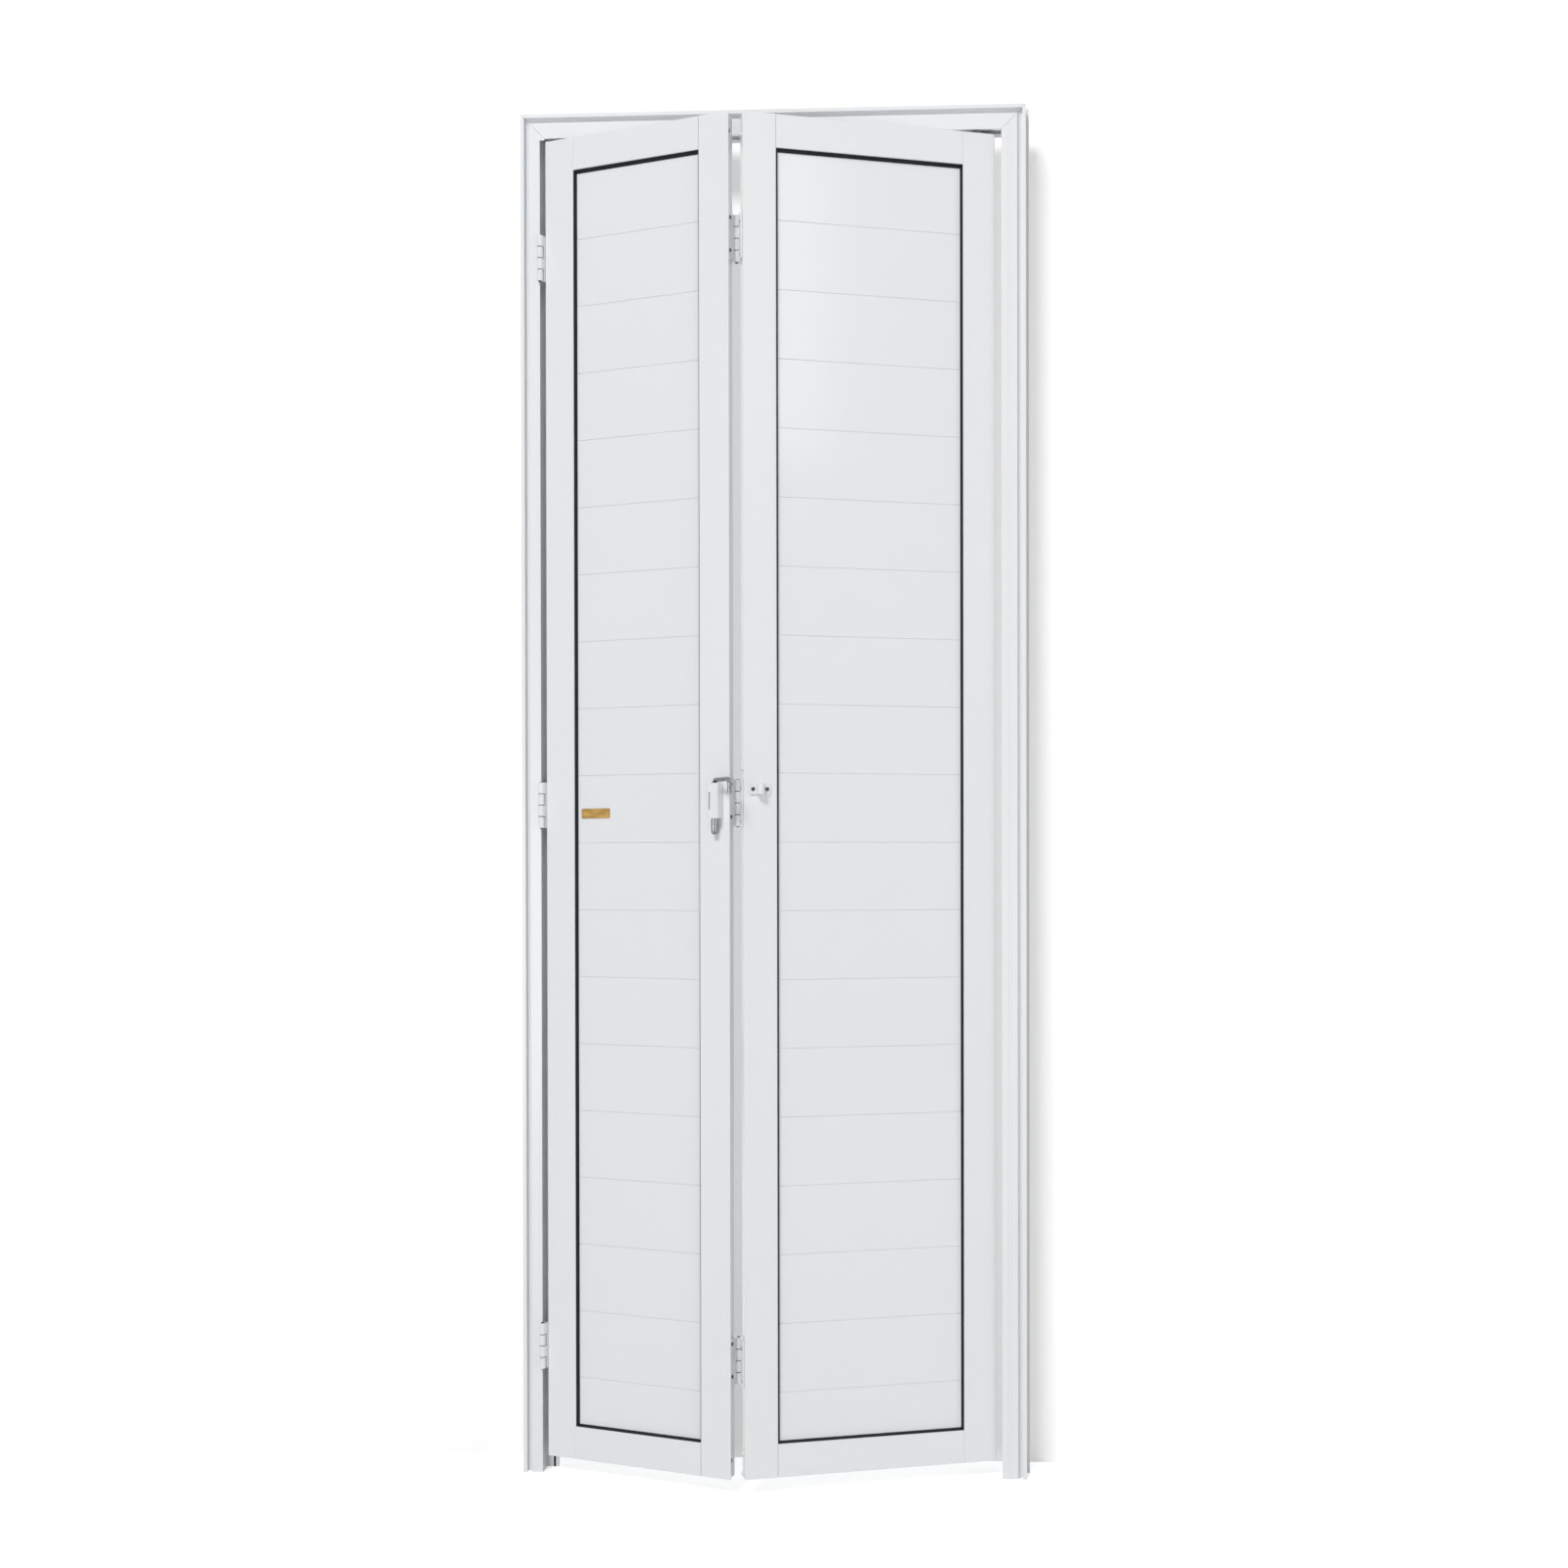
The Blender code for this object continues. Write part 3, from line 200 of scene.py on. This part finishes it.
def boardMaterial(spec):
    material, tree, shader, normal = surface("boards_white_powder_coat", spec)
    coords = addNode(tree, "ShaderNodeTexCoord", (-1200, -600))
    split = addNode(tree, "ShaderNodeSeparateXYZ", (-1020, -600))
    tree.links.new(coords.outputs["Object"], split.inputs["Vector"])
    value = split.outputs["Z"]
    # the place across one board, from -0.5 to 0.5, then a parabola that is 1 in the middle
    steps = (("SUBTRACT", spec["lastJoint"]), ("DIVIDE", spec["pitch"]), ("FRACT", None),
             ("SUBTRACT", 0.5))
    for index, (operation, number) in enumerate(steps):
        node = addNode(tree, "ShaderNodeMath", (-840 + 130 * index, -600), operation=operation)
        tree.links.new(value, node.inputs[0])
        if number is not None:
            node.inputs[1].default_value = number
        value = node.outputs[0]
    square = addNode(tree, "ShaderNodeMath", (-300, -600), operation="MULTIPLY")
    tree.links.new(value, square.inputs[0])
    tree.links.new(value, square.inputs[1])
    bow = addNode(tree, "ShaderNodeMath", (-170, -600), operation="MULTIPLY_ADD")
    bow.inputs[1].default_value = -4.0
    bow.inputs[2].default_value = 1.0
    tree.links.new(square.outputs[0], bow.inputs[0])
    tree.links.new(bumped(tree, bow.outputs[0], spec["crown"], (-40, -450), normal),
                   shader.inputs["Normal"])
    return material


boardsMaterial = boardMaterial(boardFace)

# Rubber of the gaskets and the stop seal
glazingRubber = {
    "tones": ((0.006, 0.007, 0.010), (0.014, 0.016, 0.021)),
    "driftScale": 30.0,
    "gloss": (0.55, 0.72),
    "glossScale": 160.0,
    "reliefScale": 1500.0,
    "reliefDepth": 0.00003,
    "specular": 0.22,
}
rubberMaterial = surface("glazing_rubber", glazingRubber)[0]

# Zinc plated screws, darkened
screwSteel = {
    "tones": ((0.085, 0.09, 0.1), (0.18, 0.185, 0.195)),
    "driftScale": 240.0,
    "gloss": (0.34, 0.55),
    "glossScale": 700.0,
    "reliefScale": 2400.0,
    "reliefDepth": 0.00003,
    "metallic": 1.0,
}
screwMaterial = surface("darkened_zinc_screws", screwSteel)[0]

# Drawn pins with fine lines along their length, toned much darker than bright steel: painted shade
# in the gaps between the knuckles
drawnSteel = {
    "tones": ((0.13, 0.125, 0.12), (0.24, 0.235, 0.23)),
    "driftScale": 300.0,
    "stretch": (1, 1, 0.03),
    "gloss": (0.2, 0.38),
    "glossScale": 900.0,
    "reliefScale": 1800.0,
    "reliefDepth": 0.00001,
    "metallic": 1.0,
}
pinMaterial = surface("drawn_steel_pins_painted_shade", drawnSteel)[0]

# Latch rod: polished bar, toned well below bright steel to stand in for the dark surroundings it
# reflects: painted reflection
polishedBar = {
    "tones": ((0.19, 0.195, 0.205), (0.30, 0.305, 0.315)),
    "driftScale": 90.0,
    "gloss": (0.10, 0.19),
    "glossScale": 420.0,
    "reliefScale": 900.0,
    "reliefDepth": 0.000006,
    "metallic": 1.0,
}
barMaterial = surface("polished_latch_bar", polishedBar)[0]

# Bare extrusion of the track and the cleats, with die lines along the track
bareExtrusion = {
    "tones": ((0.62, 0.63, 0.64), (0.74, 0.75, 0.76)),
    "driftScale": 260.0,
    "stretch": (0.012, 1, 1),
    "gloss": (0.34, 0.52),
    "glossScale": 600.0,
    "reliefScale": 1500.0,
    "reliefDepth": 0.00002,
    "metallic": 1.0,
}
extrusionMaterial = surface("bare_extrusion", bareExtrusion)[0]

# Gold name plate, brushed along its length
goldPlate = {
    "tones": ((0.34, 0.195, 0.05), (0.56, 0.355, 0.12)),
    "driftScale": 130.0,
    "stretch": (0.05, 1, 1),
    "gloss": (0.26, 0.42),
    "glossScale": 900.0,
    "reliefScale": 2600.0,
    "reliefDepth": 0.000012,
    "metallic": 0.85,
}
goldMaterial = surface("brushed_gold_plate", goldPlate)[0]

# Plastics: the black plug and washers, the white roller and buffers, the grey bush
plugPlastic = {
    "tones": ((0.022, 0.022, 0.024), (0.040, 0.040, 0.043)),
    "driftScale": 60.0,
    "gloss": (0.42, 0.6),
    "glossScale": 300.0,
    "reliefScale": 1800.0,
    "reliefDepth": 0.00004,
}
plugMaterial = surface("moulded_black_plug", plugPlastic)[0]

rollerNylon = {
    "tones": ((0.74, 0.74, 0.71), (0.82, 0.82, 0.80)),
    "driftScale": 120.0,
    "gloss": (0.38, 0.5),
    "glossScale": 500.0,
    "reliefScale": 1600.0,
    "reliefDepth": 0.00002,
}
rollerMaterial = surface("turned_white_nylon", rollerNylon)[0]

bushNylon = {
    "tones": ((0.17, 0.17, 0.18), (0.24, 0.24, 0.25)),
    "driftScale": 120.0,
    "gloss": (0.42, 0.56),
    "glossScale": 500.0,
    "reliefScale": 1600.0,
    "reliefDepth": 0.00002,
}
bushMaterial = surface("moulded_grey_nylon", bushNylon)[0]

# Finish for each material slot of the record
finishes = {
    "white_powder_coat": coatMaterial,
    "black_rubber": rubberMaterial,
    "dark_steel": screwMaterial,
    "bright_steel": pinMaterial,
    "mill_aluminium": extrusionMaterial,
    "gold_anodised": goldMaterial,
    "black_plastic": plugMaterial,
    "white_nylon": rollerMaterial,
    "grey_nylon": bushMaterial,
}


def dressNodes():
    for row in frame["record"]["subparts"]:
        node = frame["nodes"][row["node"]]
        finish = finishes[row["material_slot"]]
        if row["node"].endswith("_panel"):
            finish = boardsMaterial
        # the latch rod gets the darkened bar: painted reflection
        if row["node"] == "latch_rod":
            finish = barMaterial
        for slot in node.material_slots:
            slot.material = finish


dressNodes()
print("finishes laid on the nodes")

# How far the door stands open: fittings are laid out on the shut leaves, then turned with them
stance = {
    "jambPin": (-0.3584, -0.0039),      # middle of the pin, across and in depth
    "foldPin": (-0.0364, 0.0322),
    "opening": math.radians(18.8),
    "foldRatio": 1.865713,              # turn of the wide leaf for each turn of the narrow one
    "hingeBottoms": (1.841697, 0.998624, 0.162662),     # above the floor, as are all heights
    "hingeHeight": 0.070,
}


def turnAbout(pin, angle):
    centre = Matrix.Translation((*pin, 0))
    return centre @ Matrix.Rotation(angle, 4, "Z") @ centre.inverted()


leftTurn = turnAbout(stance["jambPin"], -stance["opening"])
rightTurn = leftTurn @ turnAbout(stance["foldPin"], stance["opening"] * stance["foldRatio"])
bodyTurns = {"frame": Matrix(), "leaf_left": leftTurn, "leaf_right": rightTurn}


# How the fittings' meshes are made
meshMaking = {
    "mergeDistance": 0.000005,
    "sharpAngle": math.radians(38),
    "standOff": 0.00002,        # keeps a base from lying in the same plane as the face under it
}


def alongAxis(point, axis):
    # stands a shape that is modelled along +Z on a point, along another direction
    turn = Vector((0, 0, 1)).rotation_difference(Vector(axis)).to_matrix().to_4x4()
    return Matrix.Translation(point) @ turn


def latheInto(work, profile, steps, place):
    made = bmesh.new()
    points = [made.verts.new((radius, 0, height)) for radius, height in profile]
    edges = [made.edges.new(pair) for pair in zip(points, points[1:])]
    bmesh.ops.spin(made, geom=points + edges, cent=(0, 0, 0), axis=(0, 0, 1),
                   angle=math.tau, steps=steps, use_merge=True)
    bmesh.ops.remove_doubles(made, verts=made.verts, dist=meshMaking["mergeDistance"])
    bmesh.ops.recalc_face_normals(made, faces=made.faces)
    mesh = bpy.data.meshes.new("turned")
    made.to_mesh(mesh)
    made.free()
    mesh.transform(place)
    work.from_mesh(mesh)
    bpy.data.meshes.remove(mesh)


def prismInto(work, loop, low, high, place):
    bottom = [work.verts.new(place @ Vector((x, y, low))) for x, y in loop]
    top = [work.verts.new(place @ Vector((x, y, high))) for x, y in loop]
    work.faces.new(bottom[::-1])
    work.faces.new(top)
    for index in range(len(loop)):
        work.faces.new((bottom[index - 1], bottom[index], top[index], top[index - 1]))


def finishPiece(name, work, body, material, smooth=True):
    bmesh.ops.recalc_face_normals(work, faces=work.faces)
    work.transform(bodyTurns[body])
    mesh = bpy.data.meshes.new(name)
    work.to_mesh(mesh)
    work.free()
    if smooth:
        mesh.shade_smooth()
        mesh.set_sharp_from_angle(angle=meshMaking["sharpAngle"])
    mesh.materials.append(material)
    piece = bpy.data.objects.new(name, mesh)
    bpy.context.scene.collection.objects.link(piece)
    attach(piece, body)


# Cross recesses in the screw heads, drawn as thin near-black crosses standing on the heads: painted
# shade of the recesses
crossRecess = {
    "length": 0.0036,
    "width": 0.0009,
    "rise": 0.00005,
    "firstTurn": 0.5,
    "turnStep": 1.1,            # no two screws stop alike
    # near black: painted shade in the cross recesses
    "darkTones": ((0.008, 0.008, 0.008), (0.02, 0.02, 0.02)),
    # face and depth place the heads of a plate, offsets are their heights above its foot
    "plates": (
        {"name": "recesses_jamb_plates", "body": "frame", "face": -0.3575, "depth": 0.01253,
         "offsets": (0.007, 0.056), "axis": (1, 0, 0)},
        {"name": "recesses_leaf_plates", "body": "leaf_left", "face": -0.3560, "depth": 0.01253,
         "offsets": (0.063, 0.014), "axis": (-1, 0, 0)},
        {"name": "recesses_fold_left", "body": "leaf_left", "face": -0.0388, "depth": 0.016142,
         "offsets": (0.063, 0.014), "axis": (1, 0, 0)},
        {"name": "recesses_fold_right", "body": "leaf_right", "face": -0.0340, "depth": 0.016142,
         "offsets": (0.007, 0.056), "axis": (-1, 0, 0)},
    ),
    "keeperPlaces": (-0.01754, 0.00354),
    "keeperFace": 0.0013,
    "keeperHeight": 1.053524,
}
# the screw steel made near black: painted shade for the recesses
recessShadeSpec = dict(screwSteel, tones=crossRecess["darkTones"])
recessShadeMaterial = surface("recess_shadow", recessShadeSpec)[0]


def crossLoop(spec):
    far = spec["length"] / 2
    near = spec["width"] / 2
    return [(far, -near), (far, near), (near, near), (near, far), (-near, far), (-near, near),
            (-far, near), (-far, -near), (-near, -near), (-near, -far), (near, -far), (near, -near)]


def addRecesses(name, body, points, axis):
    spec = crossRecess
    work = bmesh.new()
    for index, point in enumerate(points):
        turned = Matrix.Rotation(spec["firstTurn"] + spec["turnStep"] * index, 4, "Z")
        prismInto(work, crossLoop(spec), 0, spec["rise"], alongAxis(point, axis) @ turned)
    finishPiece(name, work, body, recessShadeMaterial, smooth=False)


def addPlateRecesses(plate):
    points = [(plate["face"], plate["depth"], bottom + offset)
              for bottom in stance["hingeBottoms"] for offset in plate["offsets"]]
    addRecesses(plate["name"], plate["body"], points, plate["axis"])


def addKeeperRecesses(spec):
    points = [(x, spec["keeperFace"], spec["keeperHeight"]) for x in spec["keeperPlaces"]]
    addRecesses("recesses_keeper", "leaf_right", points, (0, -1, 0))


for plate in crossRecess["plates"]:
    addPlateRecesses(plate)
addKeeperRecesses(crossRecess)
print("screw recesses made")

# Riveted ends of the hinge pins, above and below each barrel
pinEnd = {
    "radius": 0.0027,
    "height": 0.0013,
    "rim": 0.0004,              # height of the straight part under the dome
    "rings": 5,
    "steps": 20,
    "darkTones": ((0.05, 0.032, 0.028), (0.11, 0.085, 0.08)),
}
pinEndFinish = dict(screwSteel, tones=pinEnd["darkTones"])
pinEndMaterial = surface("browned_pin_ends", pinEndFinish)[0]


def domeProfile(radius, height, rim, rings):
    profile = [(0, 0), (radius, 0), (radius, rim)]
    for step in range(1, rings + 1):
        turn = math.pi / 2 * step / rings
        profile.append((radius * math.cos(turn), rim + (height - rim) * math.sin(turn)))
    return profile[:-1] + [(0, height)]


def addPinEnds(name, body, pin):
    spec = pinEnd
    gap = meshMaking["standOff"]
    work = bmesh.new()
    profile = domeProfile(spec["radius"], spec["height"], spec["rim"], spec["rings"])
    for bottom in stance["hingeBottoms"]:
        top = bottom + stance["hingeHeight"]
        latheInto(work, profile, spec["steps"], alongAxis((*pin, top + gap), (0, 0, 1)))
        latheInto(work, profile, spec["steps"], alongAxis((*pin, bottom - gap), (0, 0, -1)))
    finishPiece(name, work, body, pinEndMaterial)


addPinEnds("pin_ends_jamb", "frame", stance["jambPin"])
addPinEnds("pin_ends_fold", "leaf_right", stance["foldPin"])
print("pin ends made")

# Black washers between the knuckles: real washers, and their black also stands in for the shade in
# the knuckle gaps, so partly painted shade
knuckleWasher = {
    "outer": 0.0044,
    "inner": 0.0023,
    "thick": 0.0010,
    "chamfer": 0.0002,
    "knuckles": 4,
    "steps": 28,
}


def addWashers(name, body, pin):
    spec = knuckleWasher
    inner, outer, chamfer = spec["inner"], spec["outer"], spec["chamfer"]
    half = spec["thick"] / 2
    ring = [(inner, -half), (outer - chamfer, -half), (outer, chamfer - half),
            (outer, half - chamfer), (outer - chamfer, half), (inner, half), (inner, -half)]
    work = bmesh.new()
    for bottom in stance["hingeBottoms"]:
        for row in range(1, spec["knuckles"]):
            middle = bottom + stance["hingeHeight"] * row / spec["knuckles"]
            latheInto(work, ring, spec["steps"], alongAxis((*pin, middle), (0, 0, 1)))
    finishPiece(name, work, body, plugMaterial)


addWashers("washers_jamb", "frame", stance["jambPin"])
addWashers("washers_fold", "leaf_right", stance["foldPin"])
print("washers made")

# White buffers on the edge of the wide leaf that meets the narrow one
foldBuffer = {
    "radius": 0.0031,
    "height": 0.0044,
    "rim": 0.0022,
    "rings": 7,
    "steps": 24,
    "face": -0.0315,            # side face of the wide leaf
    "depth": 0.0085,
    "heights": (2.0241, 1.0838, 0.0640, 0.0345),
    "side": -1,                 # they face left
}

# Screws that hold the joints of the narrow leaf, in its edge by the fold
jointScrew = {
    "radius": 0.0034,
    "height": 0.0011,
    "rim": 0.0003,
    "rings": 5,
    "steps": 24,
    "face": -0.0413,            # side wall behind the lip of the narrow leaf
    "depth": 0.0166,
    "heights": (2.0342, 0.0507),
    "side": 1,
}


def addDomes(name, body, spec, material):
    work = bmesh.new()
    profile = domeProfile(spec["radius"], spec["height"], spec["rim"], spec["rings"])
    side = spec["side"]
    base = spec["face"] + side * meshMaking["standOff"]
    for height in spec["heights"]:
        stand = alongAxis((base, spec["depth"], height), (side, 0, 0))
        latheInto(work, profile, spec["steps"], stand)
    finishPiece(name, work, body, material)


addDomes("fold_buffers", "leaf_right", foldBuffer, rollerMaterial)
addDomes("joint_screws", "leaf_left", jointScrew, screwMaterial)
print("buffers and joint screws made")

# Raised rim and two small rivets on the name plate
plateRim = {
    "corner": (-0.2939, 1.013024),      # lower left of the plate, along the leaf and up
    "size": (0.0495, 0.0145),
    "face": 0.0085,                     # front of the plate, shut
    "inset": 0.0005,
    "width": 0.0009,
    "rise": 0.00035,
    "rivetInset": 0.0042,
    "rivetRadius": 0.0011,
    "rivetHeight": 0.0007,
    "rivetRim": 0.0002,
    "rivetRings": 4,
    "rivetSteps": 16,
}


def addPlateRim(spec):
    left, low = spec["corner"]
    wide, high = spec["size"]
    base = spec["face"] - meshMaking["standOff"]
    work = bmesh.new()
    rings = []
    for inset in (spec["inset"], spec["inset"] + spec["width"]):
        for depth in (base, spec["face"] - spec["rise"]):
            rings.append([work.verts.new((x, depth, z)) for x, z in (
                (left + inset, low + inset), (left + wide - inset, low + inset),
                (left + wide - inset, low + high - inset), (left + inset, low + high - inset))])
    outerBack, outerFront, innerBack, innerFront = rings
    order = (outerBack, outerFront, innerFront, innerBack)
    for ring, following in zip(order, order[1:] + order[:1]):
        for index in range(4):
            work.faces.new((ring[index - 1], ring[index], following[index], following[index - 1]))
    profile = domeProfile(spec["rivetRadius"], spec["rivetHeight"], spec["rivetRim"],
                          spec["rivetRings"])
    for x in (left + spec["rivetInset"], left + wide - spec["rivetInset"]):
        stand = alongAxis((x, base, low + high / 2), (0, -1, 0))
        latheInto(work, profile, spec["rivetSteps"], stand)
    finishPiece("name_plate_rim", work, "leaf_left", goldMaterial)


addPlateRim(plateRim)
print("name plate rim made")

# Floor, backdrop and the light of a plain studio
studio = {
    "half": 7.0,                # half the width of the floor and the wall
    "wallHeight": 5.0,
    "wallPlace": 0.085,         # just behind the frame, so that the door shades it
    "wallTone": (0.93, 0.92, 0.91),
    "floorTone": (0.78, 0.785, 0.79),
    "floorDrop": 0.0002,        # leaves the frame's feet clear of the sheet
    "sheetRoughness": 0.9,
    "sheetSpecular": 0.1,
    "wallLift": 0.22,           # glow that both add where they are only looked at
    "floorLift": 0.5,
    "wallThins": -0.58,         # how much less light comes through the wall at each bounce
    "skyLevel": 0.17,           # light of the world on the door, which looks plain white itself
    "skyTone": (0.95, 0.975, 1.0),
    "lamps": (
        {"name": "key", "place": (-2.6, -8.0, 8.6), "size": (3.3, 2.2), "watts": 660.0},
        {"name": "low", "place": (-1.3, -4.2, 0.62), "size": (2.8, 1.2), "watts": 33.0},
        {"name": "side", "place": (4.3, -1.9, 1.7), "size": (2.8, 2.8), "watts": 44.0},
        {"name": "back", "place": (0.6, 3.2, 2.8), "size": (2.4, 2.4), "watts": 88.0},
        # a strip that gleams on the upper part of the wide leaf
        {"name": "strip", "place": (1.6, -3.56, 3.02), "size": (0.42, 1.25), "watts": 2.5},
    ),
    "lampAim": (0, 0, 1.1),
}


def eitherOf(tree, values, place):
    # one where any of the values is one
    value = values[0]
    for index, other in enumerate(values[1:]):
        node = addNode(tree, "ShaderNodeMath", (place[0] + 160 * index, place[1]),
                       operation="MAXIMUM")
        tree.links.new(value, node.inputs[0])
        tree.links.new(other, node.inputs[1])
        value = node.outputs[0]
    return value


def seenPlainly(tree, place):
    # one where the camera, a mirror or clear plastic looks
    path = addNode(tree, "ShaderNodeLightPath", place)
    kinds = ("Is Camera Ray", "Is Glossy Ray", "Is Transmission Ray")
    return eitherOf(tree, [path.outputs[kind] for kind in kinds], (place[0] + 180, place[1]))


def stageSheet(name, corners, tone, rise):
    work = bmesh.new()
    work.faces.new([work.verts.new(corner) for corner in corners])
    mesh = bpy.data.meshes.new(name)
    work.to_mesh(mesh)
    work.free()
    sheet = bpy.data.objects.new(name, mesh)
    bpy.context.scene.collection.objects.link(sheet)
    material, tree, shader = startMaterial("studio_" + name, {"specular": studio["sheetSpecular"]})
    shader.inputs["Base Color"].default_value = (*tone, 1)
    shader.inputs["Roughness"].default_value = studio["sheetRoughness"]
    shader.inputs["Emission Color"].default_value = (1, 1, 1, 1)
    lift = addNode(tree, "ShaderNodeMath", (-180, -300), operation="MULTIPLY")
    lift.inputs[1].default_value = rise
    tree.links.new(seenPlainly(tree, (-800, -300)), lift.inputs[0])
    tree.links.new(lift.outputs[0], shader.inputs["Emission Strength"])
    mesh.materials.append(material)
    return tree, shader


def addFloor(spec):
    half = spec["half"]
    low = -spec["floorDrop"]
    corners = ((-half, -half, low), (half, -half, low), (half, half, low), (-half, half, low))
    stageSheet("floor", corners, spec["floorTone"], spec["floorLift"])


def addBackdrop(spec):
    # a one-way sheet: it takes the door's shadow in front, and clears from behind and for light
    half = spec["half"]
    deep = spec["wallPlace"]
    corners = ((-half, deep, 0), (half, deep, 0), (half, deep, spec["wallHeight"]),
               (-half, deep, spec["wallHeight"]))
    tree, shader = stageSheet("backdrop", corners, spec["wallTone"], spec["wallLift"])
    side = addNode(tree, "ShaderNodeNewGeometry", (-500, 400))
    path = addNode(tree, "ShaderNodeLightPath", (-500, 700))
    thins = addNode(tree, "ShaderNodeMath", (-500, 1000), operation="MULTIPLY_ADD")
    thins.inputs[1].default_value = spec["wallThins"]
    thins.inputs[2].default_value = 1.0
    tree.links.new(path.outputs["Diffuse Depth"], thins.inputs[0])
    passes = addNode(tree, "ShaderNodeMath", (-300, 900), operation="MULTIPLY", use_clamp=True)
    tree.links.new(path.outputs["Is Shadow Ray"], passes.inputs[0])
    tree.links.new(thins.outputs[0], passes.inputs[1])
    clears = [side.outputs["Backfacing"], passes.outputs[0],
              path.outputs["Is Diffuse Ray"], path.outputs["Is Glossy Ray"]]
    clear = addNode(tree, "ShaderNodeBsdfTransparent", (0, 400))
    choice = addNode(tree, "ShaderNodeMixShader", (300, 300))
    tree.links.new(eitherOf(tree, clears, (-300, 500)), choice.inputs["Fac"])
    tree.links.new(shader.outputs[0], choice.inputs[1])
    tree.links.new(clear.outputs[0], choice.inputs[2])
    tree.links.new(choice.outputs[0], tree.nodes["Material Output"].inputs["Surface"])


def addSky(spec):
    world = bpy.data.worlds.new("studio")
    bpy.context.scene.world = world
    world.use_nodes = True
    tree = world.node_tree
    plain = tree.nodes["Background"]
    plain.inputs["Color"].default_value = (*spec["skyTone"], 1)
    plain.inputs["Strength"].default_value = spec["skyLevel"]
    white = addNode(tree, "ShaderNodeBackground", (0, -200))
    white.inputs["Color"].default_value = (1, 1, 1, 1)
    white.inputs["Strength"].default_value = 1.0
    choice = addNode(tree, "ShaderNodeMixShader", (250, 0))
    tree.links.new(seenPlainly(tree, (-600, 200)), choice.inputs["Fac"])
    tree.links.new(plain.outputs[0], choice.inputs[1])
    tree.links.new(white.outputs[0], choice.inputs[2])
    tree.links.new(choice.outputs[0], tree.nodes["World Output"].inputs["Surface"])


def addLamps(spec):
    for lamp in spec["lamps"]:
        data = bpy.data.lights.new(lamp["name"], "AREA")
        data.shape = "RECTANGLE"
        data.size, data.size_y = lamp["size"]
        data.energy = lamp["watts"]
        holder = bpy.data.objects.new(lamp["name"], data)
        holder.location = lamp["place"]
        toward = Vector(spec["lampAim"]) - Vector(lamp["place"])
        holder.rotation_euler = toward.to_track_quat("-Z", "Y").to_euler()
        bpy.context.scene.collection.objects.link(holder)


addFloor(studio)
addBackdrop(studio)
addSky(studio)
addLamps(studio)
bpy.context.scene.view_settings.view_transform = "Standard"
print("studio set")
